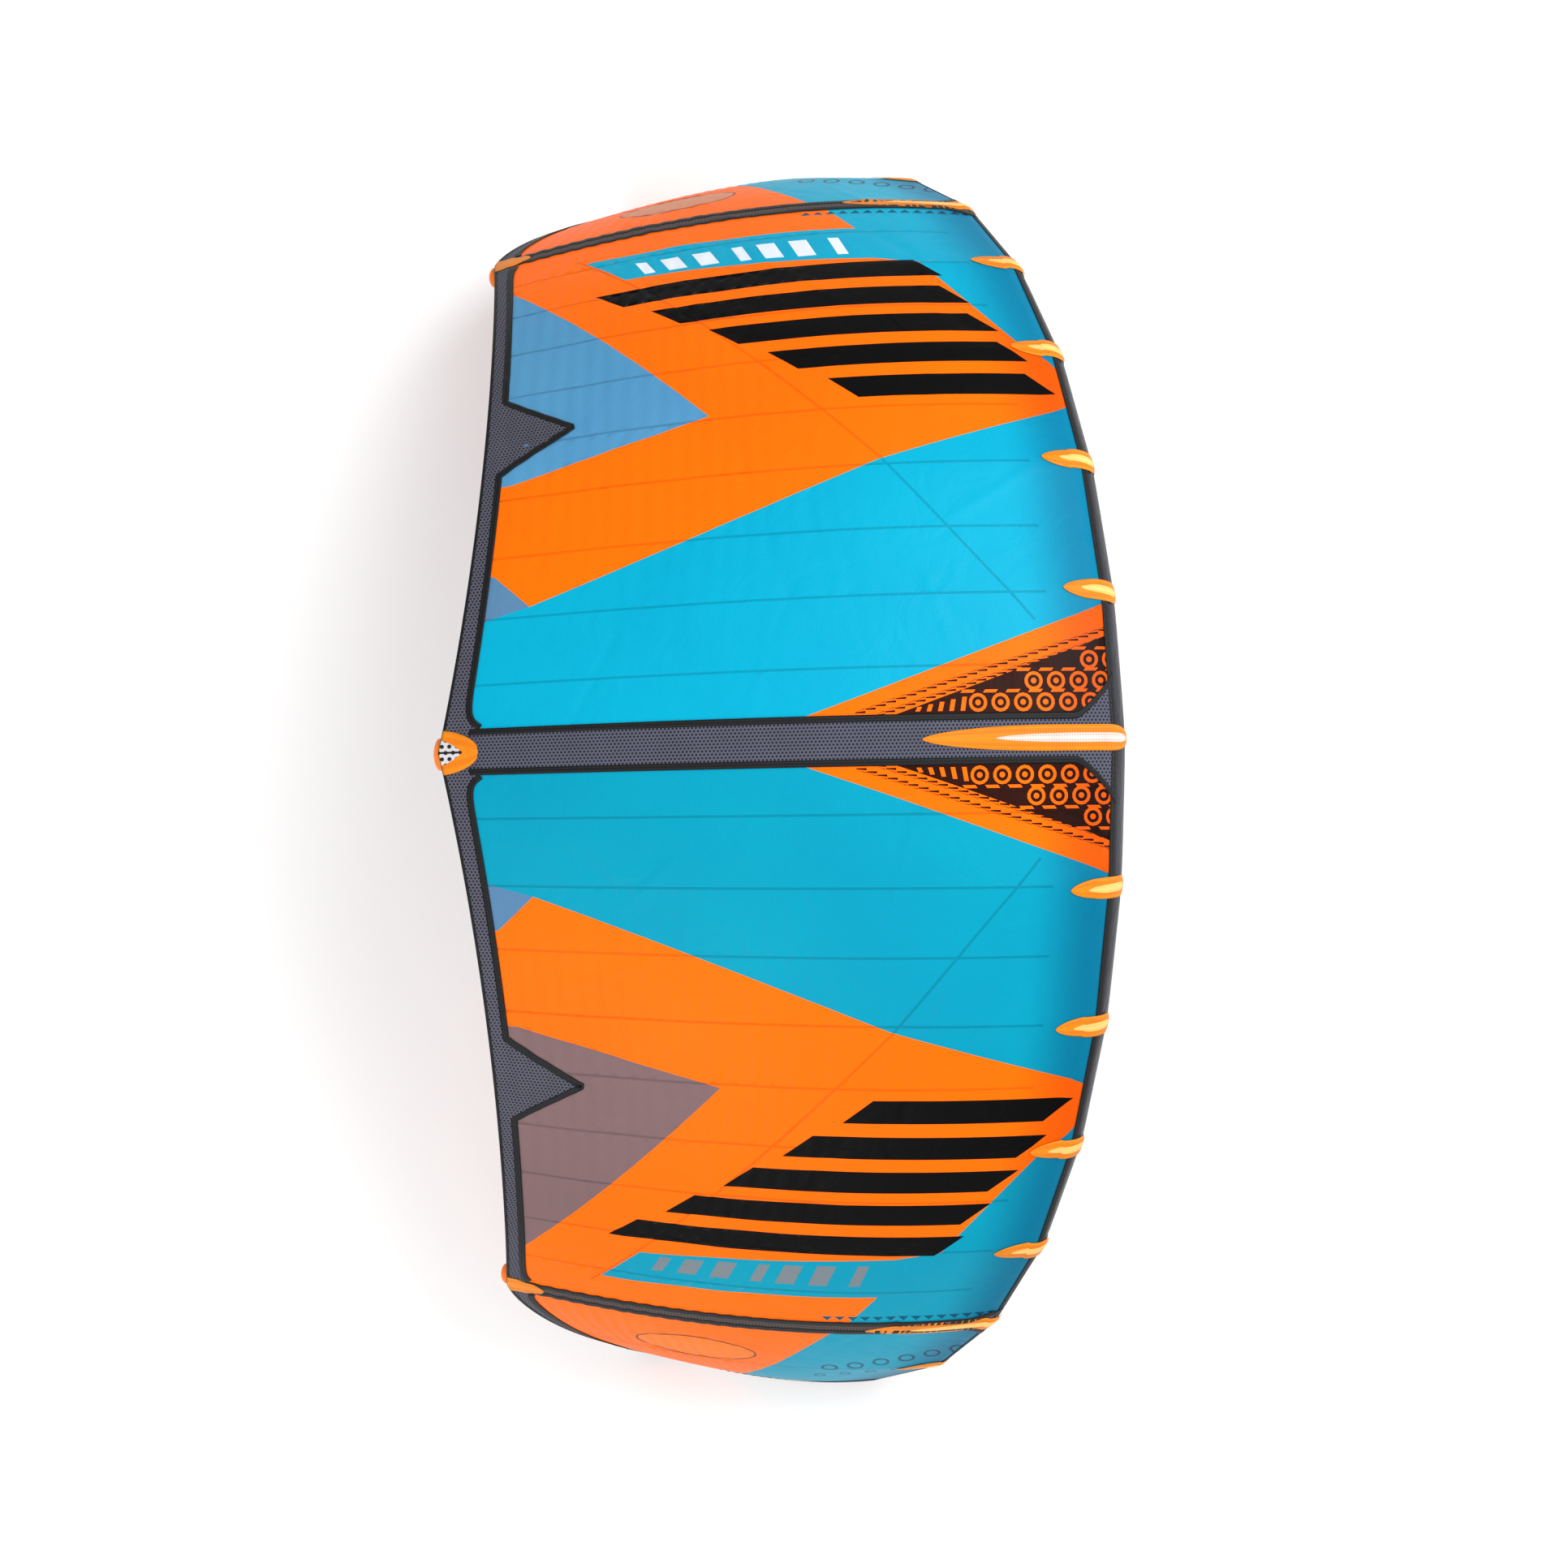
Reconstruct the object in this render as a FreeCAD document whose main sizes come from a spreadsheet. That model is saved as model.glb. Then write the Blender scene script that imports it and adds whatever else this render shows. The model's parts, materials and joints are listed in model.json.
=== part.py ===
import FreeCAD, Part
import math
import os
import Sketcher

# Inflatable kite with a leading-edge tube and three struts. X runs along the span, Y from the
# leading edge to the trailing edge, Z up. The kite stands like an arch on its two wing tips.
# s is the distance from the middle along the arch, y the distance aft of the tube's axis at the
# middle, and lift the height over the seam between the tube and the canopy.

doc = FreeCAD.newDocument("kite")
sheet = doc.addObject("Spreadsheet::Sheet", "Sizes")
Vector = FreeCAD.Vector

SIZES = {
    "half_span": 2285,           # half the span, along the arch
    "chord": 1848,               # over the middle strut, front of the tube to trailing edge
    "arch_turn": 45.7,           # degrees that the arch turns evenly, centre to tip
    "tip_turn": 32.4,            # further degrees, nearly all near the tip
    "sweep": 410,                # how far the leading edge runs back to the tip
    "tip_sweep": 211,            # further sweep, nearly all near the tip
    "toe_in": 0.07,              # share by which the trailing edge is narrower
    "tail_drop": 0.157,          # share by which the trailing edge is deeper
    "tube_radius": 95,           # tube at the middle
    "tube_tip_radius": 43,
    "strut_place": 1738,         # side strut, along the arch
    "side_reach": 1665,          # y of the side strut's rear end
    "tip_reach": 1295,           # y of the wing tip's rear corner
    "scallop": 68,               # hollow of the trailing edge between two struts
    "wrap_angle": 42,            # canopy seam, forward of the tube's top
    "leave_angle": 10,           # where the canopy leaves the tube
    "tail_slope": 12,
    "sleeve_wall": 1.5,
    "film_wall": 0.9,            # bladders
    "film_gap": 0.4,
    "cloth": 2,                  # canopy cloth
    "cloth_gap": 0.5,            # seam between the canopy and what it is sewn to
    "patch_gap": 1.2,            # folded edge under a patch
    "trim": 0.8,                 # patches and tapes
    "tape_width": 50,
    "tip_tape_width": 26,
    "band_width": 130,           # reinforcement over the middle strut
    "side_band_width": 58,
    "strut_front": 55,           # radii of the middle strut
    "strut_rear": 44,
    "side_front": 41,            # radii of the side struts
    "side_rear": 29,
    "cap_depth": 18,             # closed rear ends of the struts
    "cap_narrow": 0.62,
    "end_patch": 122,            # patch over the middle strut's rear end
    "side_end_patch": 66,
    "end_patch_length": 100,
    "wedge_width": 230,
    "wedge_length": 180,
    "band_start": 80,            # from where the canopy leaves the tube
    "dome_share": 0.62,          # depth of the tube's rounded end, of its radius
    "patch_nose": 0.35,          # reach of a joint patch round the tube, of its radius
    "patch_width": 62,
    "patch_length": 135,
    "long_patch_length": 520,    # the patch over the middle strut
    "strut_patch_length": 330,   # the patches over the side struts
    "valve_place": 190,
    "valve_flange": 36,
    "saddle": 7,                 # part of a flange that follows the tube's round
    "flange": 2.5,
    "neck_bore": 12.5,
    "neck_wall": 3.5,
    "neck_height": 12,
    "thread_gap": 0.3,
    "valve_wall": 3.7,
    "valve_roof": 3,
    "nozzle_bore": 8,
    "nozzle_wall": 3,
    "nozzle_height": 10,
    "stopper_gap": 0.9,
    "stopper_depth": 5,
    "lid_radius": 12,
    "lid": 3,
    "pivot_reach": 24,           # valve axis to the lid's pin
    "lid_pin": 1.5,
    "pin_gap": 0.05,
    "lug_width": 6,
    "lid_arm": 3,
    "lid_open": 140,
    "dump_flange": 30,
    "dump_bore": 12,
    "dump_grip": 6,
    "hose_radius": 6,
    "hose_wall": 1.5,
    "hose_gap": 0.5,
    "fitting_flange": 14,
    "fitting_plate": 2,
    "fitting_neck": 15,
    "hose_offset": 60,           # tube's fitting from the strut's middle
    "hose_lead": 42,
    "hose_drop": 95,
    "hose_reach": 175,           # from the tube's rear to the strut's fitting
    "clip_length": 36,
    "clip_floor": 2.4,
    "clip_cheek": 2.5,
    "clip_pin": 2.5,
    "lever": 3.5,
    "lever_reach": 12,
    "lever_open": 60,
    "eye_bore": 5,
    "eye_wall": 3.5,
    "eye_width": 16,
    "eye_stand": 14,             # tube's surface to the eye's axis
}

for row, (alias, value) in enumerate(SIZES.items(), start=1):
    sheet.set("A%d" % row, alias.replace("_", " "))
    sheet.set("B%d" % row, str(value))
    sheet.setAlias("B%d" % row, alias)
doc.recompute()

INNER_PANELS = 5                 # tube segments from the middle to a side strut
OUTER_PANELS = 2                 # tube segments from a side strut to the tip
BRIDLE_JOINTS = (1, 2, 3, 4)     # tube joints that carry a bridle eye


def size(alias):
    return float(sheet.get(alias))


# ---- the kite's form ----

def arch_angle(s):
    share = s / size("half_span")
    return math.radians(size("arch_turn") * share + size("tip_turn") * share**3)


def arch_point(s):
    steps = 48
    step = s / steps
    across = sum(math.cos(arch_angle((k + 0.5) * step)) for k in range(steps)) * step
    down = sum(math.sin(arch_angle((k + 0.5) * step)) for k in range(steps)) * step
    return across, -down


def leading_y(s):
    share = s / size("half_span")
    return size("sweep") * share**2 + size("tip_sweep") * share**4


def sweep_slope(s):
    share = s / size("half_span")
    return (2 * size("sweep") * share + 4 * size("tip_sweep") * share**3) / size("half_span")


def tube_radius(s):
    share = (s / size("half_span")) ** 1.2
    return size("tube_radius") + (size("tube_tip_radius") - size("tube_radius")) * share


def trailing_y(s):
    middle = size("chord") - size("tube_radius") - size("cloth")
    place = size("strut_place")
    if s <= place:
        share = s / place
        hollow = size("scallop") * 4 * share * (1 - share)
        return middle + (size("side_reach") - middle) * share - hollow
    share = (s - place) / (size("half_span") - place)
    return size("side_reach") + (size("tip_reach") - size("side_reach")) * share**1.5


def rib_point(s, y, height):
    """A point of the rib plane at s, on the +X side: y aft, height normal to the arch."""
    across, down = arch_point(s)
    angle = arch_angle(s)
    share = y / size("chord")
    narrow = 1 - size("toe_in") * share
    deepen = 1 + size("tail_drop") * share
    return Vector(
        across * narrow + height * math.sin(angle), y, down * deepen + height * math.cos(angle)
    )


def canopy_height(s, share):
    """Height of the seam line over the tube's axis, at a share of the chord aft of the tube."""
    leave = math.radians(size("leave_angle"))
    start = tube_radius(s) * math.cos(leave)
    length = trailing_y(s) - leading_y(s) + tube_radius(s) * math.sin(leave)
    rise = math.tan(leave) * length
    end = -math.tan(math.radians(size("tail_slope"))) * length
    cubic = end + rise + 2 * start
    square = -start - rise - cubic
    height = start + rise * share + square * share**2 + cubic * share**3
    slope = (rise + 2 * square * share + 3 * cubic * share**2) / length
    return height, slope


def joint_places():
    inner = []
    for k in range(INNER_PANELS + 1):
        share = k / INNER_PANELS
        inner.append(size("strut_place") * (share + 0.12 * share * (1 - share)))
    left = size("half_span") - size("strut_place")
    outer = [size("strut_place") + left * k / OUTER_PANELS for k in range(1, OUTER_PANELS + 1)]
    return inner + outer


JOINTS = joint_places()
PANELS = INNER_PANELS + OUTER_PANELS


def tube_centre(k):
    return rib_point(JOINTS[k], leading_y(JOINTS[k]), 0)


def tube_direction(k):
    """Direction of the tube's axis at a joint: halfway between the segments that meet there."""
    if k == 0:
        return Vector(1, 0, 0)
    before = (tube_centre(k) - tube_centre(k - 1)).normalize()
    if k == PANELS:
        return before
    after = (tube_centre(k + 1) - tube_centre(k)).normalize()
    return (before + after).normalize()


def tube_frame(k):
    """Centre of the tube at a joint, and the directions out of it: up off the arch, and aft."""
    along = tube_direction(k)
    angle = arch_angle(JOINTS[k])
    up = Vector(math.sin(angle), 0, math.cos(angle))
    up = (up - along * up.dot(along)).normalize()
    return tube_centre(k), up, up.cross(along)


def seam_point(k, share, lift):
    """A point of the canopy's section at a joint: share -1 is the front seam, 0 where the
    canopy leaves the tube, 1 the trailing edge."""
    s = JOINTS[k]
    leave = math.radians(size("leave_angle"))
    if share < 0:
        centre, up, aft = tube_frame(k)
        angle = leave - share * (math.radians(size("wrap_angle")) - leave)
        radius = tube_radius(s) + lift
        return centre + up * radius * math.cos(angle) - aft * radius * math.sin(angle)
    height, slope = canopy_height(s, share)
    stretch = math.sqrt(1 + sweep_slope(s) ** 2)
    start = leading_y(s) - tube_radius(s) * math.sin(leave) * stretch
    level = 1 / math.sqrt(1 + slope**2)
    y = start + (trailing_y(s) - start) * share - lift * slope * level
    return rib_point(s, y, height + lift * level)


def mirrored(point, side):
    return Vector(point.x * side, point.y, point.z)


def skin_point(s, share, lift):
    """A point over the faceted canopy: straight across each tube segment. s < 0 is the left."""
    side = -1 if s < 0 else 1
    reach = min(abs(s), JOINTS[-1])
    k = max(i for i in range(PANELS) if JOINTS[i] <= reach + 1e-6)
    part = (reach - JOINTS[k]) / (JOINTS[k + 1] - JOINTS[k])
    near = seam_point(k, share, lift)
    far = seam_point(k + 1, share, lift)
    return mirrored(near + (far - near) * part, side)


def canopy_length(s):
    return trailing_y(s) - leading_y(s)


def wrap_length(s):
    return tube_radius(s) * math.radians(size("wrap_angle") - size("leave_angle"))


def share_at(s, distance):
    """The skin's share at a distance aft (+) or forward (-) of where it leaves the tube."""
    reach = min(abs(s), JOINTS[-1])
    return distance / (canopy_length(reach) if distance > 0 else wrap_length(reach))


def flat(points):
    return Part.Face(Part.makePolygon(list(points) + [points[0]]))


def patch(near, far):
    """Flat three-cornered faces between two rows of points."""
    faces = []
    for k in range(len(near) - 1):
        corners = (near[k], near[k + 1], far[k + 1], far[k])
        normal = (corners[1] - corners[0]).cross(corners[2] - corners[0]).normalize()
        if abs(normal.dot(corners[3] - corners[0])) < 1e-7:
            faces.append(flat(corners))
        else:
            faces += [flat(corners[:3]), flat((corners[0], corners[2], corners[3]))]
    return faces


def solid_of(faces):
    shell = Part.makeShell(faces)
    shell.sewShape()
    solid = Part.makeSolid(shell)
    if solid.Volume < 0:
        solid.reverse()
    return solid


def layer(lows, highs, closed=False):
    """A solid between two grids of points. closed says that each row is a ring."""
    faces = []
    for rows in (lows, highs):
        for near, far in zip(rows, rows[1:]):
            faces += patch(near, far)
    for k in (0, -1):
        faces += patch(lows[k], highs[k])
    if not closed:
        for k in (0, -1):
            faces += patch([row[k] for row in lows], [row[k] for row in highs])
    return solid_of(faces)


def lofted(rings):
    """A solid through flat rings of points, each with its first point again at its end."""
    faces = [flat(rings[0][:-1]), flat(rings[-1][:-1])]
    for near, far in zip(rings, rings[1:]):
        faces += patch(near, far)
    return solid_of(faces)


def skin_solid(stations, shares, lift, thick):
    """A layer on the canopy. shares(s) lists its shares from front to rear at a station."""
    lows = [[skin_point(s, share, lift) for share in shares(s)] for s in stations]
    highs = [[skin_point(s, share, lift + thick) for share in shares(s)] for s in stations]
    return layer(lows, highs)


# The canopy's sections have their corners at these shares, and so has what lies along them.
CANOPY_SHARES = (-1, -0.66, -0.33, 0, 0.07, 0.15, 0.24, 0.34, 0.45, 0.57, 0.7, 0.84, 1)


def along_canopy(front, rear):
    return [front] + [share for share in CANOPY_SHARES if front < share < rear] + [rear]


NODES = {}                       # the kite's pieces, by the names of their files


def node(label, item):
    item.Label = label
    NODES[label] = item
    return item


def feature(label, shape):
    item = doc.addObject("Part::Feature", label)
    item.Shape = shape
    return node(label, item)


# ---- leading-edge tube ----

TUBE_SIDES = 20                  # flat gores round the sleeve
FILM_SIDES = 10                  # and round a bladder


def circle(centre, up, aft, radius, sides):
    turns = [2 * math.pi * k / sides for k in range(sides)]
    ring = [centre + up * radius * math.cos(turn) + aft * radius * math.sin(turn)
            for turn in turns]
    return ring + [ring[0]]


def tube_ring(k, side, lift, sides=TUBE_SIDES):
    """The tube's section in the mitre plane of a joint."""
    centre, up, aft = tube_frame(k)
    ring = circle(centre, up, aft, tube_radius(JOINTS[k]) + lift, sides)
    return [mirrored(point, side) for point in ring]


def tube_form(k, side, lift):
    return lofted([tube_ring(k, side, lift), tube_ring(k + 1, side, lift)])


def sleeve_segment(k, side):
    wall = size("sleeve_wall")
    inside = [tube_ring(j, side, -wall) for j in (k, k + 1)]
    outside = [tube_ring(j, side, 0) for j in (k, k + 1)]
    return layer(inside, outside, closed=True)


def tip_dome(side, lift):
    """The rounded end of the tube beyond its last joint."""
    centre, up, aft = tube_frame(PANELS)
    along = tube_direction(PANELS)
    radius = tube_radius(JOINTS[-1]) + lift
    rings = []
    for turn in (0, 30, 55, 75):
        reach = radius * size("dome_share") * math.sin(math.radians(turn))
        narrow = radius * math.cos(math.radians(turn))
        ring = circle(centre + along * reach, up, aft, narrow, TUBE_SIDES)
        rings.append([mirrored(point, side) for point in ring])
    return lofted(rings)


def tube_spot(s, side, turn):
    """A spot on the sleeve: its place, the way out of the tube and the way along it.
    turn is in degrees from the tube's top, backwards."""
    k = max(i for i in range(PANELS) if JOINTS[i] <= s)
    part = (s - JOINTS[k]) / (JOINTS[k + 1] - JOINTS[k])
    near, up, aft = tube_frame(k)
    far = tube_centre(k + 1)
    along = (far - near).normalize()
    up = (up - along * up.dot(along)).normalize()
    aft = up.cross(along)
    out = up * math.cos(math.radians(turn)) + aft * math.sin(math.radians(turn))
    radius = tube_radius(JOINTS[k]) * (1 - part) + tube_radius(JOINTS[k + 1]) * part
    spot = near + (far - near) * part + out * radius
    return mirrored(spot, side), mirrored(out, side), mirrored(along, side)


def placed(origin, up, along):
    """A placement with its Z up and its X along."""
    across = up.cross(along).normalize()
    ahead = across.cross(up)
    return FreeCAD.Placement(FreeCAD.Matrix(
        ahead.x, across.x, up.x, origin.x,
        ahead.y, across.y, up.y, origin.y,
        ahead.z, across.z, up.z, origin.z, 0, 0, 0, 1))


def valve_hole(s, side, turn, bore):
    spot, out, along = tube_spot(s, side, turn)
    depth = 2 * size("saddle")
    return Part.makeCylinder(size(bore), 2 * depth, spot - out * depth, out)


INFLATE = (size("valve_place"), 1, 130)
DUMP = ((JOINTS[INNER_PANELS] + JOINTS[INNER_PANELS + 1]) / 2, -1, 150)
VALVE_SEGMENTS = {
    ("right", 1): INFLATE + ("neck_bore",),
    ("left", INNER_PANELS + 1): DUMP + ("dump_bore",),
}

SIDES = {"left": -1, "right": 1}
for name, side in SIDES.items():
    for k in range(PANELS):
        sleeve = sleeve_segment(k, side)
        if (name, k + 1) in VALVE_SEGMENTS:
            sleeve = sleeve.cut(valve_hole(*VALVE_SEGMENTS[name, k + 1]))
        feature("le_sleeve_%s_%d" % (name, k + 1), sleeve)
    dome = tip_dome(side, 0).cut(tip_dome(side, -size("sleeve_wall")))
    feature("le_tip_cap_%s" % name, dome)


def bladder():
    """One film tube from tip to tip, closed at both ends."""
    lift = -size("sleeve_wall") - size("film_gap")
    wall = size("film_wall")
    order = [(-1, k) for k in range(PANELS, 0, -1)] + [(1, k) for k in range(PANELS + 1)]
    outside = lofted([tube_ring(k, side, lift, FILM_SIDES) for side, k in order])
    inside = [tube_ring(k, side, lift - wall, FILM_SIDES) for side, k in order]
    for end, side in ((0, -1), (-1, 1)):
        inward = mirrored(tube_direction(PANELS), side) * -wall
        inside[end] = [point + inward for point in inside[end]]
    return outside.cut(lofted(inside))


feature("le_bladder", bladder())


# ---- canopy ----

def canopy_panel(first, last, side):
    stations = [max(JOINTS[k], 1e-7) * side for k in range(first, last + 1)]
    return skin_solid(stations, lambda s: CANOPY_SHARES, size("cloth_gap"), size("cloth"))


for name, side in SIDES.items():
    for k in range(INNER_PANELS):
        feature("canopy_panel_%s_%d" % (name, k + 1), canopy_panel(k, k + 1, side))
    feature("canopy_tip_%s" % name, canopy_panel(INNER_PANELS, PANELS, side))


def trim_lift():
    return size("cloth_gap") + size("cloth")


def hem_share(s):
    return 1 - size("tape_width") / canopy_length(abs(s))


def tape(side):
    """Hem tape along the trailing edge, and along the wing tip up to it."""
    stations = [max(s, 1e-7) * side for s in JOINTS]
    hem = skin_solid(stations, lambda s: (hem_share(s), 1), trim_lift(), size("trim"))
    edge = JOINTS[-1]
    stations = [(edge - size("tip_tape_width")) * side, edge * side]
    shares = along_canopy(0.02, hem_share(edge) - 0.01)
    tip = skin_solid(stations, lambda s: shares, trim_lift(), size("trim"))
    return Part.makeCompound([hem, tip])


for name, side in SIDES.items():
    feature("trailing_edge_tape_%s" % name, tape(side))


def band(place, width, start):
    """Reinforcement on the canopy over a strut."""
    half = width / 2
    stations = [place - half, place, place + half]
    shares = along_canopy(share_at(place, start), hem_share(place) - 0.004)
    return skin_solid(stations, lambda s: shares, trim_lift(), size("trim"))


feature("centre_strut_band", band(0, size("band_width"), size("band_start")))
side_bands = [band(size("strut_place") * side, size("side_band_width"), size("band_start"))
              for side in SIDES.values()]
feature("side_strut_bands", Part.makeCompound(side_bands))


def patch_lift():
    return trim_lift() + size("trim") + size("patch_gap")


CORNER_STEP = 0.2                # closest that a patch's rows come, of an even spacing


def teardrop(place, length):
    """A patch over a tube joint: round in front, drawn out to the rear."""
    half = size("patch_width") / 2
    outline = {-1: (0.30, 0.36), -0.6: (0.07, 0.72), 0: (0, 1), 0.6: (0.07, 0.72), 1: (0.30, 0.36)}
    nose = -size("patch_nose") * tube_radius(abs(place))

    def shares(s):
        turn = min(outline, key=lambda key: abs(place + half * key - s))
        front, rear = [share_at(place, nose + length * part) for part in outline[turn]]
        count = len(rows) - 1
        step = (rear - front) / count * CORNER_STEP
        return [min(max(row, front + step * k), rear - step * (count - k))
                for k, row in enumerate(rows)]

    rows = along_canopy(share_at(place, nose), share_at(place, nose + length))
    return skin_solid([place + half * key for key in outline], shares, patch_lift(), size("trim"))


def joint_patches():
    patches = [teardrop(0, size("long_patch_length"))]
    for side in SIDES.values():
        for k in range(1, PANELS):
            kind = "strut_patch_length" if k == INNER_PANELS else "patch_length"
            patches.append(teardrop(JOINTS[k] * side, size(kind)))
    return Part.makeCompound(patches)


feature("joint_patches", joint_patches())


def end_patch(place, width):
    """A patch with a cut-off front, sewn over a strut's rear end."""
    stations = [place + width * turn / 4 for turn in (-2, -1, 0, 1, 2)]

    def shares(s):
        at_side = abs(s - place) > width * 0.4
        reach = size("end_patch_length") * (0.62 if at_side else 1)
        return [1 - reach / canopy_length(abs(place)), 1]

    return skin_solid(stations, shares, patch_lift(), size("trim"))


feature("strut_end_patches", Part.makeCompound([
    end_patch(-size("strut_place"), size("side_end_patch")),
    end_patch(0, size("end_patch")),
    end_patch(size("strut_place"), size("side_end_patch"))]))


def wedge(side):
    """A pointed reinforcement on the hem half-way between two struts."""
    middle = (JOINTS[2] + JOINTS[3]) / 2
    rear = hem_share(middle) - 0.012

    def shares(s):
        length = size("wedge_length") if abs(abs(s) - middle) < 1 else 20
        return [rear - length / canopy_length(middle), rear]

    half = size("wedge_width") / 2
    stations = [(middle + step) * side for step in (-half, 0, half)]
    return skin_solid(stations, shares, trim_lift(), size("trim"))


feature("hem_wedge_patches", Part.makeCompound([wedge(side) for side in SIDES.values()]))


# ---- struts ----

STRUTS = {"left": -1, "centre": 0, "right": 1}
STRUT_SIDES = 16


STRUT_CORNERS = (0.15, 0.34, 0.57, 0.84, 1)      # canopy shares where the struts bend
STRUT_START = 0.02


def strut_line(side, share, lift):
    """Centre and radius of a strut, at a share of the way from the tube's axis to its rear end."""
    s = size("strut_place") * abs(side)
    front = size("side_front") if side else size("strut_front")
    back = size("side_rear") if side else size("strut_rear")
    radius = front + (back - front) * share
    start = leading_y(s)
    end = trailing_y(s)
    y = start + (end - start) * share
    first = leading_y(s) - tube_radius(s) * math.sin(math.radians(size("leave_angle")))
    height, slope = canopy_height(s, (y - first) / (trailing_y(s) - first))
    drop = radius * math.sqrt(1 + slope**2) + size("cloth_gap")
    return mirrored(rib_point(s, y, height - drop), side or 1), radius + lift


def strut_bends(side):
    """The strut's own shares at the canopy's corners."""
    s = size("strut_place") * abs(side)
    first = leading_y(s) - tube_radius(s) * math.sin(math.radians(size("leave_angle")))
    reach = trailing_y(s) - leading_y(s)
    bends = [(first + (trailing_y(s) - first) * corner - leading_y(s)) / reach
             for corner in STRUT_CORNERS]
    return [STRUT_START] + bends


def strut_spot(side, share, lift):
    """As strut_line, on the straight runs between the bends."""
    bends = strut_bends(side)
    k = max(i for i in range(len(bends) - 1) if bends[i] <= share or i == 0)
    part = (share - bends[k]) / (bends[k + 1] - bends[k])
    near, near_radius = strut_line(side, bends[k], lift)
    far, far_radius = strut_line(side, bends[k + 1], lift)
    return near + (far - near) * part, near_radius + (far_radius - near_radius) * part


def strut_rings(side, lift, first, last, sides):
    shares = [first] + [bend for bend in strut_bends(side) if first < bend < last] + [last]
    rings = []
    for share in shares:
        centre, radius = strut_spot(side, share, lift)
        rings.append(circle(centre, Vector(0, 0, 1), Vector(1, 0, 0), radius, sides))
    return rings


def tube_near(side, lift):
    """The tube on both sides of a strut's joint."""
    if side == 0:
        return [tube_form(0, -1, lift), tube_form(0, 1, lift)]
    return [tube_form(k, side, lift) for k in (INNER_PANELS - 1, INNER_PANELS)]


def strut_front_share(side, clear):
    """Share at which a strut's film starts, clear of the tube."""
    s = size("strut_place") * abs(side)
    beside = size("side_front" if side else "strut_front") * sweep_slope(s)
    return (tube_radius(s) * 1.12 + beside + clear) / (trailing_y(s) - leading_y(s))


for name, side in STRUTS.items():
    wall = size("sleeve_wall")
    inside = strut_rings(side, -wall, STRUT_START, 1, STRUT_SIDES)
    outside = strut_rings(side, 0, STRUT_START, 1, STRUT_SIDES)
    sleeve = layer(inside, outside, closed=True)
    feature("strut_sleeve_%s" % name, sleeve.cut(tube_near(side, size("film_gap"))))
    film = -size("film_gap") - wall
    start = strut_front_share(side, 8)
    shell = lofted(strut_rings(side, film, start, 0.985, STRUT_SIDES // 2))
    hollow = lofted(
        strut_rings(side, film - size("film_wall"), start + 0.002, 0.983, STRUT_SIDES // 2))
    feature("strut_bladder_%s" % name, shell.cut(hollow))


def bound(kind, label, sizes, placement=FreeCAD.Placement()):
    """A Part primitive whose sizes are bound to the sheet."""
    item = doc.addObject(kind, label)
    for name, cell in sizes.items():
        item.setExpression(name, cell)
    item.Placement = placement
    return item


def group(label, items):
    item = doc.addObject("Part::Compound", label)
    item.Links = items
    return node(label, item)


def strut_cap(name, side):
    """The gathered cloth that closes a strut's rear end."""
    base = "Sizes.side_rear" if side else "Sizes.strut_rear"
    cap = bound("Part::Cone", "strut_cap_" + name, {
        "Radius1": base, "Radius2": base + " * Sizes.cap_narrow", "Height": "Sizes.cap_depth"})
    centre, radius = strut_line(side, 1, 0)
    cap.Placement = FreeCAD.Placement(centre, FreeCAD.Rotation(Vector(1, 0, 0), -90))
    return cap


group("strut_end_caps", [strut_cap(name, side) for name, side in STRUTS.items()])


# ---- pieces made by sketches ----

def outlined_body(label, plane, outline):
    """A body with a closed sketch whose corners are bound to the sheet."""
    body = doc.addObject("PartDesign::Body", label)
    sketch = body.newObject("Sketcher::SketchObject", label + "_outline")
    origin = [item for item in body.Origin.OriginFeatures if item.Role == plane][0]
    sketch.AttachmentSupport = (origin, [""])
    sketch.MapMode = "FlatFace"
    spots = [[float(sketch.evalExpression(text)) for text in corner] for corner in outline]
    count = len(spots)
    for k in range(count):
        ends = [Vector(*spots[j % count], 0) for j in (k, k + 1)]
        sketch.addGeometry(Part.LineSegment(*ends), False)
    for k in range(count):
        sketch.addConstraint(Sketcher.Constraint("Coincident", k, 2, (k + 1) % count, 1))
    for k in range(count):
        for kind, text, spot in zip(("DistanceX", "DistanceY"), outline[k], spots[k]):
            number = sketch.addConstraint(Sketcher.Constraint(kind, -1, 1, k, 1, spot))
            if text != "0":
                sketch.setExpression("Constraints[%d]" % number, text)
    return body, sketch


def revolved(label, outline):
    body, sketch = outlined_body(label, "XZ_Plane", outline)
    turn = body.newObject("PartDesign::Revolution", label + "_turn")
    turn.Profile = sketch
    turn.ReferenceAxis = (sketch, ["V_Axis"])
    turn.Angle = 360
    doc.recompute()
    return body


def pushed(label, plane, outline, length):
    body, sketch = outlined_body(label, plane, outline)
    pad = body.newObject("PartDesign::Pad", label + "_pad")
    pad.Profile = sketch
    pad.setExpression("Length", length)
    doc.recompute()
    return body


def joined(kind, label, items):
    """Part::Cut takes the second item off the first; Part::MultiFuse joins them all."""
    item = doc.addObject(kind, label)
    if kind == "Part::Cut":
        item.Base, item.Tool = items
    else:
        item.Shapes = items
    return item


def moved(place, x, y, z):
    return place.multiply(FreeCAD.Placement(Vector(x, y, z), FreeCAD.Rotation()))


ALONG_Y = FreeCAD.Rotation(Vector(1, 0, 0), -90)
ALONG_X = FreeCAD.Rotation(Vector(0, 1, 0), 90)


# ---- valves ----

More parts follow.
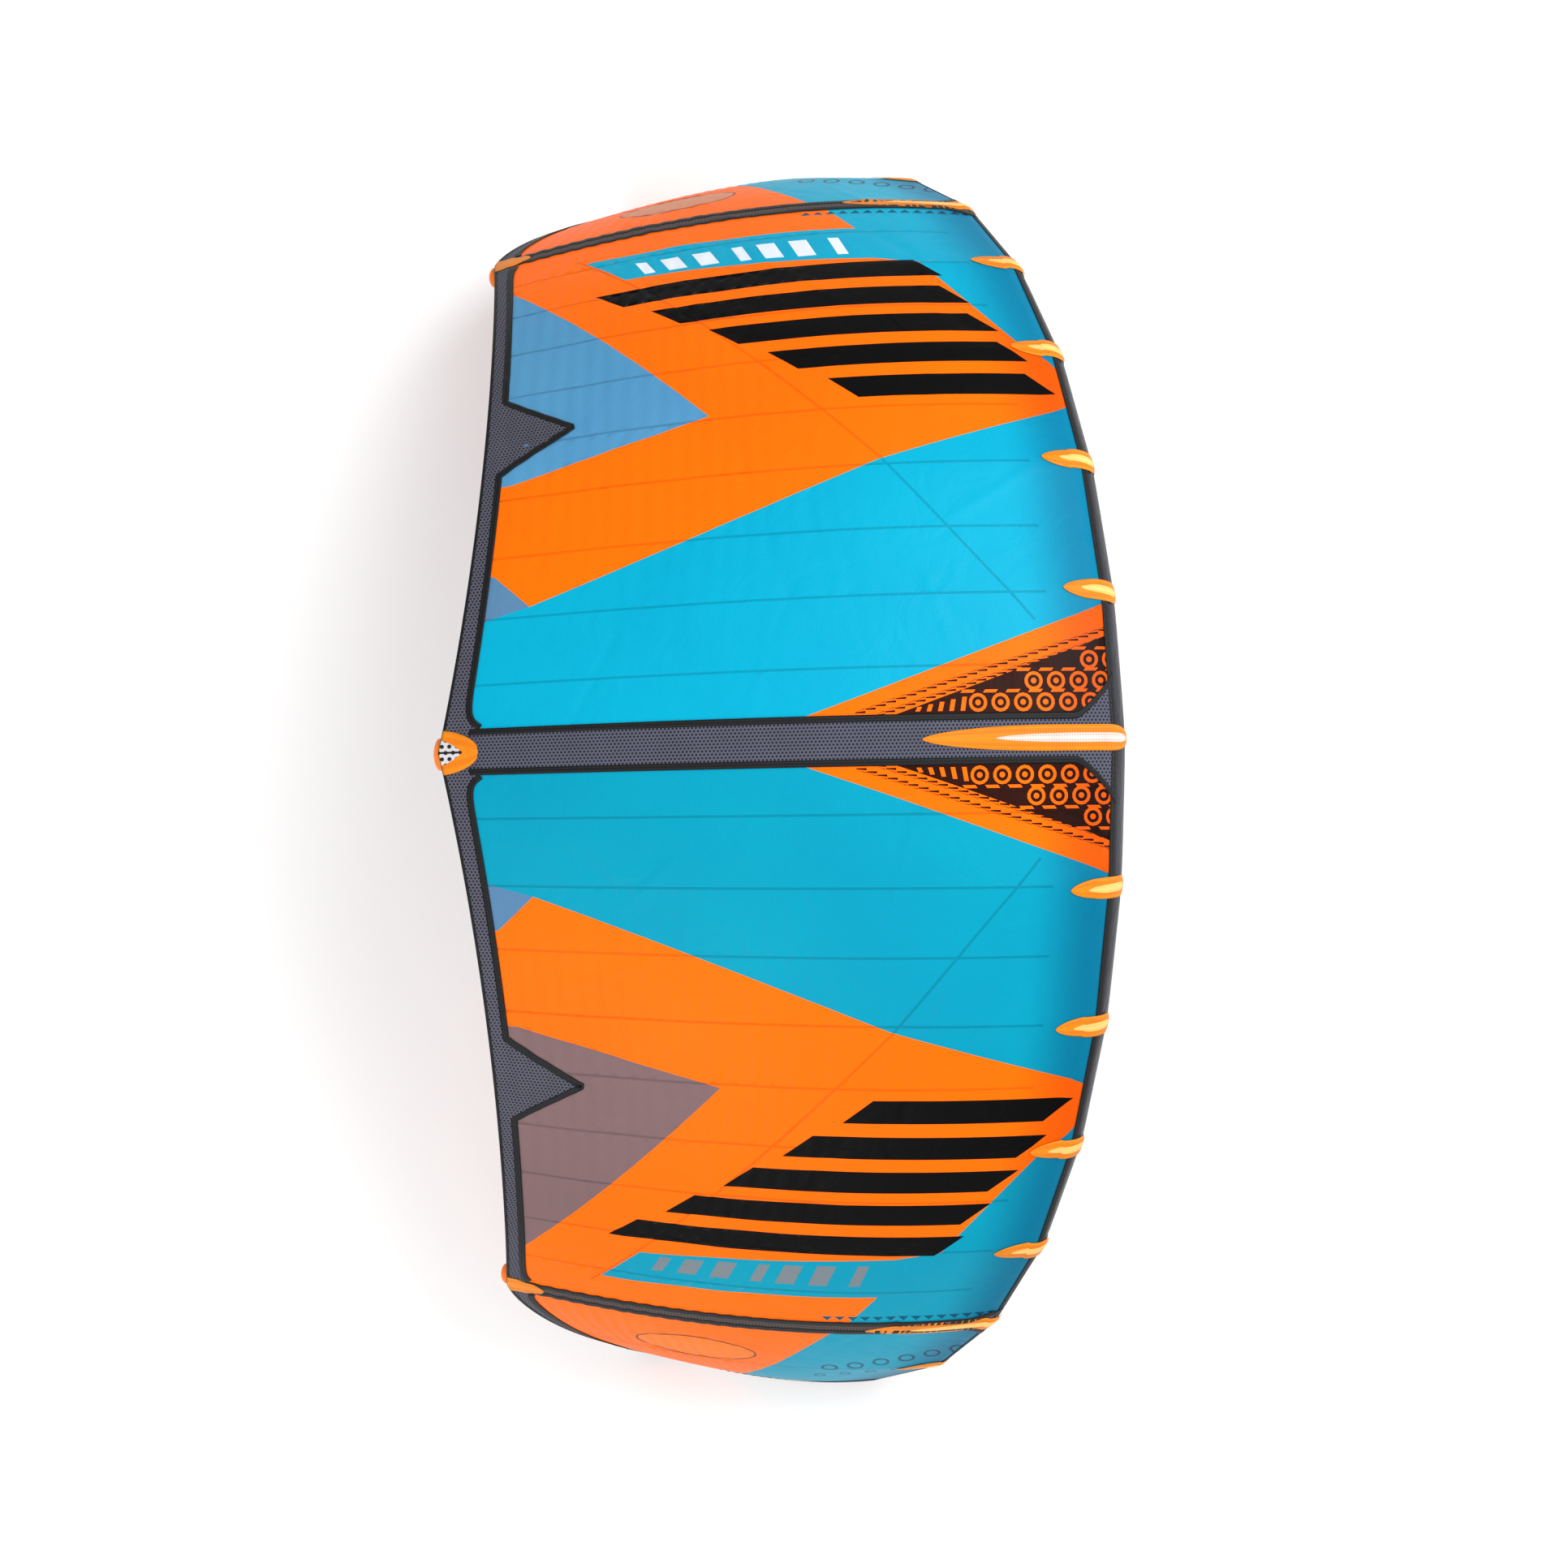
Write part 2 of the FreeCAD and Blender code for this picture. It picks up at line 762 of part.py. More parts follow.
def valve_base(label, spot, bore, rim):
    """A welded flange that follows the tube's round, with a threaded neck."""
    neck = "%s + Sizes.neck_wall" % bore
    seat = "Sizes.saddle + Sizes.flange"
    top = seat + " + Sizes.neck_height"
    body = revolved(label + "_blank", (
        (bore, "0"), (rim, "0"), (rim, seat), (neck, seat), (neck, top), (bore, top)))
    place, out, along = tube_spot(*spot)
    body.Placement = placed(place - out * size("saddle"), out, along)
    tube = doc.addObject("Part::Feature", label + "_tube")
    k = max(i for i in range(PANELS) if JOINTS[i] <= spot[0])
    tube.Shape = tube_form(k, spot[1], 0)
    return joined("Part::Cut", label, (body, tube))


def valve_frame(spot):
    """On top of a valve's flange, Z out of the tube and X along it."""
    place, out, along = tube_spot(*spot)
    return placed(place + out * size("flange"), out, along)


group("valve_bases", [
    valve_base("inflate_base", INFLATE, "Sizes.neck_bore", "Sizes.valve_flange"),
    valve_base("dump_base", DUMP, "Sizes.dump_bore", "Sizes.dump_flange")])
INFLATE_FRAME = valve_frame(INFLATE)
SKIRT = "Sizes.neck_bore + Sizes.neck_wall + Sizes.thread_gap"
SHELL = SKIRT + " + Sizes.valve_wall"
ROOF = "Sizes.neck_height + Sizes.thread_gap"
SHOULDER = ROOF + " + Sizes.valve_roof"
NOZZLE_TOP = SHOULDER + " + Sizes.nozzle_height"
NOZZLE = "Sizes.nozzle_bore + Sizes.nozzle_wall"
PIVOT = (
    size("pivot_reach"), 0,
    size("neck_height") + size("thread_gap") + size("valve_roof") + size("nozzle_height"))
LUG_END = 3.5                    # lug past the lid's pin


def inflate_body():
    """Twist-on valve body: a skirt over the neck, a nozzle and a lug for the lid's pin."""
    body = revolved("valve_turning", (
        (SKIRT, "Sizes.thread_gap"), (SHELL, "Sizes.thread_gap"), (SHELL, SHOULDER),
        (NOZZLE, SHOULDER), (NOZZLE, NOZZLE_TOP), ("Sizes.nozzle_bore", NOZZLE_TOP),
        ("Sizes.nozzle_bore", ROOF), (SKIRT, ROOF)))
    shell = size("neck_bore") + size("neck_wall") + size("thread_gap") + size("valve_wall")
    low = size("neck_height") - LUG_END
    lug = bound("Part::Box", "lid_lug", {
        "Length": "Sizes.pivot_reach - (%s) + 1 + %s" % (SHELL, LUG_END),
        "Width": "Sizes.lug_width",
        "Height": "%s - Sizes.neck_height + 2 * %s" % (NOZZLE_TOP, LUG_END)},
        FreeCAD.Placement(Vector(shell - 1, -size("lug_width") / 2, low), FreeCAD.Rotation()))
    whole = joined("Part::MultiFuse", "valve_and_lug", [body, lug])
    hole = bound("Part::Cylinder", "lid_pin_hole", {
        "Radius": "Sizes.lid_pin + Sizes.pin_gap", "Height": "Sizes.lug_width + 2"},
        FreeCAD.Placement(Vector(PIVOT[0], -size("lug_width") / 2 - 1, PIVOT[2]), ALONG_Y))
    piece = joined("Part::Cut", "inflate_valve_body", (whole, hole))
    piece.Placement = INFLATE_FRAME
    return node("inflate_valve_body", piece)


def inflate_lid():
    """Lid with a stopper and two arms, which swings on its own pin."""
    under = NOZZLE_TOP + " + Sizes.thread_gap"
    stopper = "Sizes.nozzle_bore - Sizes.stopper_gap"
    disc = revolved("lid_disc", (
        ("0", under + " - Sizes.stopper_depth"), (stopper, under + " - Sizes.stopper_depth"),
        (stopper, under), ("Sizes.lid_radius", under),
        ("Sizes.lid_radius", under + " + Sizes.lid"), ("0", under + " + Sizes.lid")))
    pieces = [disc]
    inner = size("lug_width") / 2 + size("thread_gap")
    start = size("nozzle_bore")
    knuckle = size("lid")
    for turn in (-1, 1):
        y = inner if turn > 0 else -inner - size("lid_arm")
        pieces.append(bound("Part::Box", "lid_arm", {
            "Length": "Sizes.pivot_reach - Sizes.nozzle_bore", "Width": "Sizes.lid_arm",
            "Height": "Sizes.lid"},
            FreeCAD.Placement(Vector(start, y, PIVOT[2] + size("thread_gap")),
                              FreeCAD.Rotation())))
        pieces.append(bound("Part::Cylinder", "lid_knuckle", {
            "Radius": "Sizes.lid + Sizes.thread_gap", "Height": "Sizes.lid_arm"},
            FreeCAD.Placement(Vector(PIVOT[0], y, PIVOT[2]), ALONG_Y)))
    pieces.append(bound("Part::Cylinder", "lid_pin_bar", {
        "Radius": "Sizes.lid_pin",
        "Height": "Sizes.lug_width + 2 * Sizes.thread_gap + 2 * Sizes.lid_arm"},
        FreeCAD.Placement(Vector(PIVOT[0], -inner - size("lid_arm"), PIVOT[2]), ALONG_Y)))
    piece = joined("Part::MultiFuse", "inflate_valve_lid", pieces)
    swing = FreeCAD.Rotation(Vector(0, 1, 0), size("lid_open"))
    pivot = Vector(*PIVOT)
    piece.Placement = INFLATE_FRAME.multiply(
        FreeCAD.Placement(Vector(0, 0, 0), swing, pivot))
    return node("inflate_valve_lid", piece)


inflate_body()
inflate_lid()
DUMP_FRAME = valve_frame(DUMP)
STEM = "Sizes.dump_bore - Sizes.thread_gap"
HEAD = "Sizes.dump_bore + Sizes.neck_wall + 1.5"
dump_plug = revolved("dump_valve_plug", (
    ("0", "Sizes.neck_height - 8"), (STEM, "Sizes.neck_height - 8"), (STEM, ROOF),
    (HEAD, ROOF), (HEAD, ROOF + " + 4"), ("Sizes.dump_grip", ROOF + " + 4"),
    ("Sizes.dump_grip", ROOF + " + 12"), ("0", ROOF + " + 12")))
dump_plug.Placement = DUMP_FRAME
node("dump_valve_plug", dump_plug)


# ---- one-pump hoses with their clips ----

def strut_belly(side, aft_of_tube):
    """A spot on a strut's underside: its place and the way down out of the strut."""
    s = size("strut_place") * abs(side)
    share = (tube_radius(s) + aft_of_tube) / (trailing_y(s) - leading_y(s))
    centre, radius = strut_spot(side, share, 0)
    ahead, ahead_radius = strut_spot(side, share + 0.01, 0)
    along = (ahead - centre).normalize()
    angle = arch_angle(s)
    up = mirrored(Vector(math.sin(angle), 0, math.cos(angle)), side or 1)
    down = (along * up.dot(along) - up).normalize()
    return centre + down * (radius + size("cloth_gap")), down, along


def hose_ends(side):
    s = abs(size("strut_place") * abs(side) - size("hose_offset"))
    start, out, run = tube_spot(s, side or 1, 135)
    start = start + out * size("cloth_gap")
    belly, down, along = strut_belly(side, size("hose_reach"))
    return start, out, belly, down


ARC_STEPS = 5
HOSE_SIDES = 10


def hose_route(side):
    start, out, end, down = hose_ends(side)
    plate = size("fitting_plate")
    first = start + out * plate
    last = end + down * plate
    return [first, first + out * size("hose_lead"), last + down * size("hose_drop"), last]


def rounded(points):
    """Spots and directions along straight runs joined by tangent arcs, each as large as its
    two runs allow."""
    spots = [(points[0], (points[1] - points[0]).normalize())]
    for before, corner, after in zip(points, points[1:], points[2:]):
        back = (before - corner).normalize()
        on = (after - corner).normalize()
        half = math.acos(-back.dot(on)) / 2
        reach = 0.45 * min((before - corner).Length, (after - corner).Length)
        radius = reach / math.tan(half)
        centre = corner + (back + on).normalize() * (radius / math.cos(half))
        first = (corner + back * reach) - centre
        inward = first * (1 / radius)
        ahead = back * -1
        for k in range(ARC_STEPS + 1):
            turn = 2 * half * k / ARC_STEPS
            spot = centre + first * math.cos(turn) + ahead * radius * math.sin(turn)
            way = ahead * math.cos(turn) - inward * math.sin(turn)
            spots.append((spot, way))
    return spots + [(points[-1], (points[-1] - points[-2]).normalize())]


def hose(side):
    route = rounded(hose_route(side))
    across = route[0][1].cross(route[-1][1]).normalize()
    walls = []
    for radius in (size("hose_radius") - size("hose_wall"), size("hose_radius")):
        rings = []
        for spot, way in route:
            aft = across.cross(way).normalize()
            rings.append(circle(spot, way.cross(aft), aft, radius, HOSE_SIDES))
        walls.append(rings)
    return layer(*walls, closed=True)


feature("transfer_hoses", Part.makeCompound([hose(side) for side in STRUTS.values()]))


def hose_fitting(label, place):
    """A plate with a neck that the hose is pushed over."""
    neck = "(Sizes.hose_radius - Sizes.hose_wall) * 0.9"
    top = "Sizes.fitting_plate + Sizes.fitting_neck"
    body = revolved(label, (
        ("0", "0"), ("Sizes.fitting_flange", "0"), ("Sizes.fitting_flange", "Sizes.fitting_plate"),
        (neck, "Sizes.fitting_plate"), (neck, top), ("0", top)))
    body.Placement = place
    return body


def hose_fittings():
    fittings = []
    for name, side in STRUTS.items():
        start, out, end, down = hose_ends(side)
        across = Vector(1, 0, 0)
        fittings.append(hose_fitting("tube_fitting_" + name, placed(start, out, across)))
        fittings.append(hose_fitting("strut_fitting_" + name, placed(end, down, across)))
    return group("hose_fittings", fittings)


hose_fittings()

CLIP_WIDTH = "2 * (Sizes.hose_radius + Sizes.hose_gap + Sizes.clip_cheek)"
CLIP_HOSE = "Sizes.clip_floor + Sizes.hose_gap + Sizes.hose_radius"
LEVER_LOW = CLIP_HOSE + " + Sizes.hose_radius + Sizes.hose_gap"
LEVER_PIVOT = LEVER_LOW + " + 4.4"
CHEEK_TOP = LEVER_PIVOT + " + Sizes.clip_pin + 1.2"
PIVOT_X = 8                      # lever's pin from the clip's front end


def number(text):
    return float(sheet.evalExpression(text))


def clip_place(side):
    """Across the hose's middle run, its lever side away from the canopy."""
    route = hose_route(side)
    along = (route[2] - route[1]).normalize()
    start, out, end, down = hose_ends(side)
    up = (down - along * down.dot(along)).normalize()
    middle = (route[1] * 0.55) + (route[2] * 0.45)
    across = up.cross(along)
    corner = middle - along * size("clip_length") / 2 - up * number(CLIP_HOSE)
    return placed(corner - across * number(CLIP_WIDTH) / 2, up, along)


def clip_frame(name, side):
    """A channel round the hose with a cheek on each side for the lever's pin."""
    cheek = "Sizes.clip_cheek"
    far = "%s - %s" % (CLIP_WIDTH, cheek)
    channel = pushed("clip_channel_" + name, "YZ_Plane", (
        ("0", "0"), (CLIP_WIDTH, "0"), (CLIP_WIDTH, CHEEK_TOP), (far, CHEEK_TOP),
        (far, "Sizes.clip_floor"), (cheek, "Sizes.clip_floor"), (cheek, CHEEK_TOP),
        ("0", CHEEK_TOP)), "Sizes.clip_length")
    hole = bound("Part::Cylinder", "clip_hole_" + name, {
        "Radius": "Sizes.clip_pin + Sizes.pin_gap", "Height": CLIP_WIDTH + " + 2"},
        FreeCAD.Placement(Vector(PIVOT_X, -1, number(LEVER_PIVOT)), ALONG_Y))
    piece = joined("Part::Cut", "clip_frame_" + name, (channel, hole))
    piece.Placement = clip_place(side)
    return piece


def clip_lever(name, side):
    """A lever that pinches the hose when it is pressed down. It stands open."""
    top = LEVER_LOW + " + Sizes.lever"
    end = "Sizes.clip_length + Sizes.lever_reach"
    width = "%s - 2 * (Sizes.clip_cheek + Sizes.thread_gap)" % CLIP_WIDTH
    blade = pushed("lever_blade_" + name, "XZ_Plane", (
        ("%s - 3.5" % PIVOT_X, LEVER_LOW + " + 2.4"), ("%s" % PIVOT_X, LEVER_LOW),
        (end, LEVER_LOW), (end, top), ("%s + 6" % PIVOT_X, top),
        ("%s + 3.5" % PIVOT_X, LEVER_PIVOT + " + 3"),
        ("%s - 3.5" % PIVOT_X, LEVER_PIVOT + " + 3")), width)
    shift = number(CLIP_WIDTH) / 2 - blade.Shape.BoundBox.Center.y
    blade.Placement = FreeCAD.Placement(Vector(0, shift, 0), FreeCAD.Rotation())
    pin = bound("Part::Cylinder", "lever_pin_" + name, {
        "Radius": "Sizes.clip_pin", "Height": CLIP_WIDTH},
        FreeCAD.Placement(Vector(PIVOT_X, 0, number(LEVER_PIVOT)), ALONG_Y))
    piece = joined("Part::MultiFuse", "hose_clip_lever_" + name, [blade, pin])
    swing = FreeCAD.Rotation(Vector(0, 1, 0), -size("lever_open"))
    pivot = Vector(PIVOT_X, 0, number(LEVER_PIVOT))
    piece.Placement = clip_place(side).multiply(
        FreeCAD.Placement(Vector(0, 0, 0), swing, pivot))
    return node("hose_clip_lever_" + name, piece)


group("hose_clip_frames", [clip_frame(name, side) for name, side in STRUTS.items()])
for name, side in STRUTS.items():
    clip_lever(name, side)


# ---- webbing eyes that lines are tied to ----

def eye(label, place):
    """A stiff webbing eye: Z away from what it is sewn to, its bore along X."""
    wall = "Sizes.eye_wall"
    wide = "2 * (Sizes.eye_bore + Sizes.eye_wall)"
    top = "Sizes.eye_stand + Sizes.eye_bore + Sizes.eye_wall"
    loop = pushed(label + "_loop", "YZ_Plane", (
        ("Sizes.eye_bore", "0"), ("%s - Sizes.eye_bore" % wide, "0"),
        (wide, "Sizes.eye_stand - Sizes.eye_wall"), (wide, "Sizes.eye_stand + Sizes.eye_wall"),
        ("%s - %s" % (wide, wall), top), (wall, top),
        ("0", "Sizes.eye_stand + Sizes.eye_wall"), ("0", "Sizes.eye_stand - Sizes.eye_wall")),
        "Sizes.eye_width")
    centre = size("eye_bore") + size("eye_wall")
    bore = bound("Part::Cylinder", label + "_bore", {
        "Radius": "Sizes.eye_bore", "Height": "Sizes.eye_width + 2"},
        FreeCAD.Placement(Vector(-1, centre, size("eye_stand")), ALONG_X))
    piece = joined("Part::Cut", label, (loop, bore))
    piece.Placement = moved(place, -size("eye_width") / 2, -centre, 0)
    return piece


def bridle_place(k, side):
    centre, up, aft = tube_frame(k)
    spot = centre - up * (tube_radius(JOINTS[k]) + size("cloth_gap"))
    return placed(mirrored(spot, side), mirrored(up, side) * -1, mirrored(aft, side) * -1)


BRIDLE_PLACES = {
    "%s_%d" % (name, k): bridle_place(k, side) for name, side in SIDES.items()
    for k in BRIDLE_JOINTS}
group("bridle_eyes", [eye("bridle_eye_" + name, place) for name, place in BRIDLE_PLACES.items()])


def tip_eye_place(side):
    """On the trailing edge near the tip's rear corner, square to the edge."""
    s = size("half_span") - 60
    near, spot, far = [skin_point((s + step) * side, 1, size("cloth_gap") + size("cloth") / 2)
                       for step in (-10, 0, 10)]
    along = (far - near).normalize()
    angle = arch_angle(s)
    skin = mirrored(Vector(math.sin(angle), 0, math.cos(angle)), side)
    out = (skin - along * skin.dot(along)).normalize()
    aft = along.cross(out)
    if aft.y < 0:
        aft = aft * -1
    return placed(spot + aft * size("cloth_gap"), aft, out)


TIP_EYE_PLACES = {name: tip_eye_place(side) for name, side in SIDES.items()}
group("tip_line_eyes", [eye("tip_eye_" + name, place) for name, place in TIP_EYE_PLACES.items()])

leash_spot, leash_out, leash_along = tube_spot(size("valve_place") + 100, 1, 180)
LEASH_PLACE = placed(leash_spot + leash_out * size("cloth_gap"), leash_out,
                     leash_along.cross(leash_out))
node("pump_leash_eye", eye("pump_leash_eye", LEASH_PLACE))
doc.recompute()


# ---- stand the kite on its tips ----

def heights(label, pitch):
    turn = math.radians(pitch)
    return min(v.Point.y * math.sin(turn) + v.Point.z * math.cos(turn)
               for v in NODES[label].Shape.Vertexes)


def level_pitch():
    """The pitch at which the tube's end and the canopy's rear corner are equally low."""
    low, high = -8.0, 8.0
    for step in range(50):
        middle = (low + high) / 2
        if heights("canopy_tip_right", middle) > heights("le_tip_cap_right", middle):
            high = middle
        else:
            low = middle
    return low


PITCH = level_pitch()
ground = FreeCAD.Placement(Vector(0, 0, 0), FreeCAD.Rotation(Vector(1, 0, 0), PITCH))
for item in NODES.values():
    item.Placement = ground.multiply(item.Placement)
doc.recompute()
box = FreeCAD.BoundBox()
for item in NODES.values():
    box.add(item.Shape.optimalBoundingBox(False))
GROUND = FreeCAD.Placement(
    Vector(-box.Center.x, -box.Center.y, -box.ZMin), FreeCAD.Rotation())
for item in NODES.values():
    item.Placement = GROUND.multiply(item.Placement)
doc.recompute()
STAND = GROUND.multiply(ground)


# ---- check and write ----

for item in doc.Objects:
    if "Invalid" in item.State or "Error" in item.State:
        raise RuntimeError("%s failed: %s" % (item.Label, item.State))
for label, item in NODES.items():
    if item.Shape.isNull() or not item.Shape.isValid() or not item.Shape.Solids:
        raise RuntimeError("%s has no valid solid" % label)

os.makedirs("parts", exist_ok=True)
for label, item in NODES.items():
    item.Shape.exportStep("parts/%s.step" % label)
print(len(NODES), "pieces, pitch", round(PITCH, 2), "box",
      [round(v, 1) for v in (box.XLength, box.YLength, box.ZLength)])
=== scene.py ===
import json
import math

import bpy
import numpy as np
from mathutils import Matrix, Vector
from mathutils.geometry import delaunay_2d_cdt


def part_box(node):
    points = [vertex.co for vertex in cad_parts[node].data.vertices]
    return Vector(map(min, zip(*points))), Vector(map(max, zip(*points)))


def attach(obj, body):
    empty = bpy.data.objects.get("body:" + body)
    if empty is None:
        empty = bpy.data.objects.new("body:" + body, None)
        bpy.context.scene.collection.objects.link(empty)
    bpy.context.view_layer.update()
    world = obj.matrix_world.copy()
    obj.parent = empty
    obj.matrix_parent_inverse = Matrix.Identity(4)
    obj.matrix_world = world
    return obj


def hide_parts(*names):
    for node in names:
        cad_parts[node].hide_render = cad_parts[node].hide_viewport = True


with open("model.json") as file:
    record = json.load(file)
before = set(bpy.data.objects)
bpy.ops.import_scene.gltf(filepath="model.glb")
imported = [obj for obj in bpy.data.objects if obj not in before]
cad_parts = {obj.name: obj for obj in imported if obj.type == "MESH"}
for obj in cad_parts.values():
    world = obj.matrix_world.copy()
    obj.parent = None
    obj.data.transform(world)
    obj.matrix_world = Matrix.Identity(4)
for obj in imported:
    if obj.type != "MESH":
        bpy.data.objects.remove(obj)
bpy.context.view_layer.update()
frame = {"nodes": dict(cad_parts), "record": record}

random = np.random.default_rng(7)

# The kite's form, in metres: s along the arch, share along the chord, lift off the seam.

form = {
    "halfSpan": 2.285, "chord": 1.848, "archTurn": 45.7, "tipTurn": 32.4,
    "sweep": 0.410, "tipSweep": 0.211, "toeIn": 0.07, "tailDrop": 0.157,
    "tubeRadius": 0.095, "tubeTipRadius": 0.043, "radiusPower": 1.2,
    "strutPlace": 1.738, "sideReach": 1.665, "tipReach": 1.295, "scallop": 0.068,
    "wrapAngle": 42, "leaveAngle": 10, "tailSlope": 12, "cloth": 0.002,
    "pitch": 2.47,          # degrees that the kite leans to stand on four spots
    "innerPanels": 5, "outerPanels": 2,
}
halfSpan = form["halfSpan"]
leave = math.radians(form["leaveAngle"])
wrap = math.radians(form["wrapAngle"])

archSteps = np.linspace(0, halfSpan, 1201)


def archAngle(s):
    share = s / halfSpan
    return np.radians(form["archTurn"] * share + form["tipTurn"] * share**3)


def summed(values):
    steps = np.diff(archSteps)
    return np.concatenate([[0], np.cumsum((values[1:] + values[:-1]) / 2 * steps)])


archAcross = summed(np.cos(archAngle(archSteps)))
archDown = -summed(np.sin(archAngle(archSteps)))


def leadingY(s):
    share = s / halfSpan
    return form["sweep"] * share**2 + form["tipSweep"] * share**4


def sweepSlope(s):
    share = s / halfSpan
    return (2 * form["sweep"] * share + 4 * form["tipSweep"] * share**3) / halfSpan


def tubeRadius(s):
    share = (s / halfSpan) ** form["radiusPower"]
    return form["tubeRadius"] + (form["tubeTipRadius"] - form["tubeRadius"]) * share


def trailingY(s):
    middle = form["chord"] - form["tubeRadius"] - form["cloth"]
    share = s / form["strutPlace"]
    inner = middle + (form["sideReach"] - middle) * share - form["scallop"] * 4 * share * (1 - share)
    beyond = np.clip((s - form["strutPlace"]) / (halfSpan - form["strutPlace"]), 0, 1)
    outer = form["sideReach"] + (form["tipReach"] - form["sideReach"]) * beyond**1.5
    return np.where(s <= form["strutPlace"], inner, outer)


def ribPoint(s, y, height):
    angle = archAngle(s)
    narrow = 1 - form["toeIn"] * y / form["chord"]
    deepen = 1 + form["tailDrop"] * y / form["chord"]
    across = np.interp(s, archSteps, archAcross) * narrow + height * np.sin(angle)
    up = np.interp(s, archSteps, archDown) * deepen + height * np.cos(angle)
    return np.stack([across, y + 0 * across, up], -1)


def seamStart(s):
    return leadingY(s) - tubeRadius(s) * math.sin(leave) * np.sqrt(1 + sweepSlope(s) ** 2)


def canopyLength(s):
    return trailingY(s) - seamStart(s)


def wrapLength(s):
    return tubeRadius(s) * (wrap - leave)


def canopyHeight(s, share):
    start = tubeRadius(s) * math.cos(leave)
    length = trailingY(s) - leadingY(s) + tubeRadius(s) * math.sin(leave)
    rise = math.tan(leave) * length
    end = -math.tan(math.radians(form["tailSlope"])) * length
    cubic = end + rise + 2 * start
    square = -start - rise - cubic
    height = start + rise * share + square * share**2 + cubic * share**3
    return height, (rise + 2 * square * share + 3 * cubic * share**2) / length


joints = []
for k in range(form["innerPanels"] + 1):
    part = k / form["innerPanels"]
    joints.append(form["strutPlace"] * (part + 0.12 * part * (1 - part)))
for k in range(form["outerPanels"]):
    joints.append(form["strutPlace"]
                  + (halfSpan - form["strutPlace"]) * (k + 1) / form["outerPanels"])
joints = np.array(joints)
panels = len(joints) - 1
jointCentres = ribPoint(joints, leadingY(joints), 0 * joints)


def unit(v):
    return v / np.linalg.norm(v, axis=-1, keepdims=True)


segmentWays = unit(np.diff(jointCentres, axis=0))
jointWays = unit(np.concatenate([[[1, 0, 0]], segmentWays[1:] + segmentWays[:-1], segmentWays[-1:]]))
jointOut = np.stack([np.sin(archAngle(joints)), 0 * joints, np.cos(archAngle(joints))], -1)
jointUps = unit(jointOut - jointWays * np.sum(jointOut * jointWays, -1, keepdims=True))
jointAfts = np.cross(jointUps, jointWays)


def archPoint(s, share, lift):        # smooth canopy, from where it leaves the tube
    height, slope = canopyHeight(s, share)
    level = 1 / np.sqrt(1 + slope**2)
    y = seamStart(s) + canopyLength(s) * share - lift * slope * level
    return ribPoint(s, y, height + lift * level)


def jointPoint(k, share, lift):       # canopy's section over a tube joint
    s = joints[k] + 0 * share
    angle = (leave - share * (wrap - leave))[..., None]
    reach = (tubeRadius(s) + lift)[..., None]
    front = jointCentres[k] + jointUps[k] * reach * np.cos(angle) - jointAfts[k] * reach * np.sin(angle)
    return np.where((share < 0)[..., None], front, archPoint(s, np.maximum(share, 0), lift))


def smooth(x):
    x = np.clip(x, 0, 1)
    return x * x * (3 - 2 * x)


# Creases: shallow folds in the cloth, each a ridge along a short line.

flatLength = 1.75                     # the chord in the flat layout
flatWrap = 0.055                      # and the cloth that wraps on to the tube
creases = {"count": 120, "height": 0.0024, "width": 0.011, "length": 0.42, "ripple": 0.0012, "ripples": 105}
creaseLines = []
for k in range(creases["count"]):
    side = 1 if random.random() < 0.62 else -1
    s = side * random.uniform(0.1, 1.95)
    share = random.uniform(0.08, 0.95)
    turn = random.normal(0.9 * side, 0.55)
    length = creases["length"] * random.uniform(0.4, 1.2)
    height = creases["height"] * random.uniform(-1, 1)
    creaseLines.append((s, share * flatLength, math.sin(turn), math.cos(turn), length, height,
                        creases["width"] * random.uniform(0.7, 2)))


def creaseLift(s, share):
    t = share * flatLength
    ripple = smooth((t - 0.55) / 0.5) * smooth((np.abs(s) - 0.25) / 0.5)
    lift = creases["ripple"] * np.sin(t * creases["ripples"] + 2.5 * np.sin(s * 4) + s * 6) * ripple
    for s0, t0, ds, dt, length, height, width in creaseLines:
        along = (s - s0) * ds + (t - t0) * dt
        off = (s - s0) * dt - (t - t0) * ds
        lift = lift + height * np.exp(-(off / width) ** 2 - (along / length * 2) ** 2)
    return lift * smooth((share - 0.02) / 0.1) * smooth((1 - share) / 0.05 + 0.3)


def rawSkin(s, share, lift=0.0025):
    s, share = np.broadcast_arrays(np.asarray(s, float), np.asarray(share, float))
    side = np.where(s < 0, -1.0, 1.0)
    lift = lift + creaseLift(s, share)
    reach = np.clip(np.abs(s), 0, halfSpan)
    k = np.clip(np.searchsorted(joints, reach, side="right") - 1, 0, panels - 1)
    part = ((reach - joints[k]) / (joints[k + 1] - joints[k]))[..., None]
    flat = np.zeros(s.shape + (3,))
    for j in range(panels):
        here = k == j
        near = jointPoint(j, share[here], lift[here])
        far = jointPoint(j + 1, share[here], lift[here])
        flat[here] = near + (far - near) * part[here]
    rounded = archPoint(reach, np.maximum(share, 0), lift)
    weight = smooth(share / 0.4)[..., None]
    found = flat + (rounded - flat) * weight
    found[..., 0] *= side
    return found


# Stand: the lean and the shift that the frame's own box gives.

lean = math.radians(form["pitch"])
leanMatrix = np.array([[1, 0, 0], [0, math.cos(lean), -math.sin(lean)],
                       [0, math.sin(lean), math.cos(lean)]])
firstPanel = rawSkin(0.0001, np.linspace(-1, 1, 400)) @ leanMatrix.T
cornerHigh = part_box("canopy_panel_right_1")[1]
standShift = np.array([0, cornerHigh.y - firstPanel[:, 1].max(), cornerHigh.z - firstPanel[:, 2].max()])


def stand(points):
    return points @ leanMatrix.T + standShift


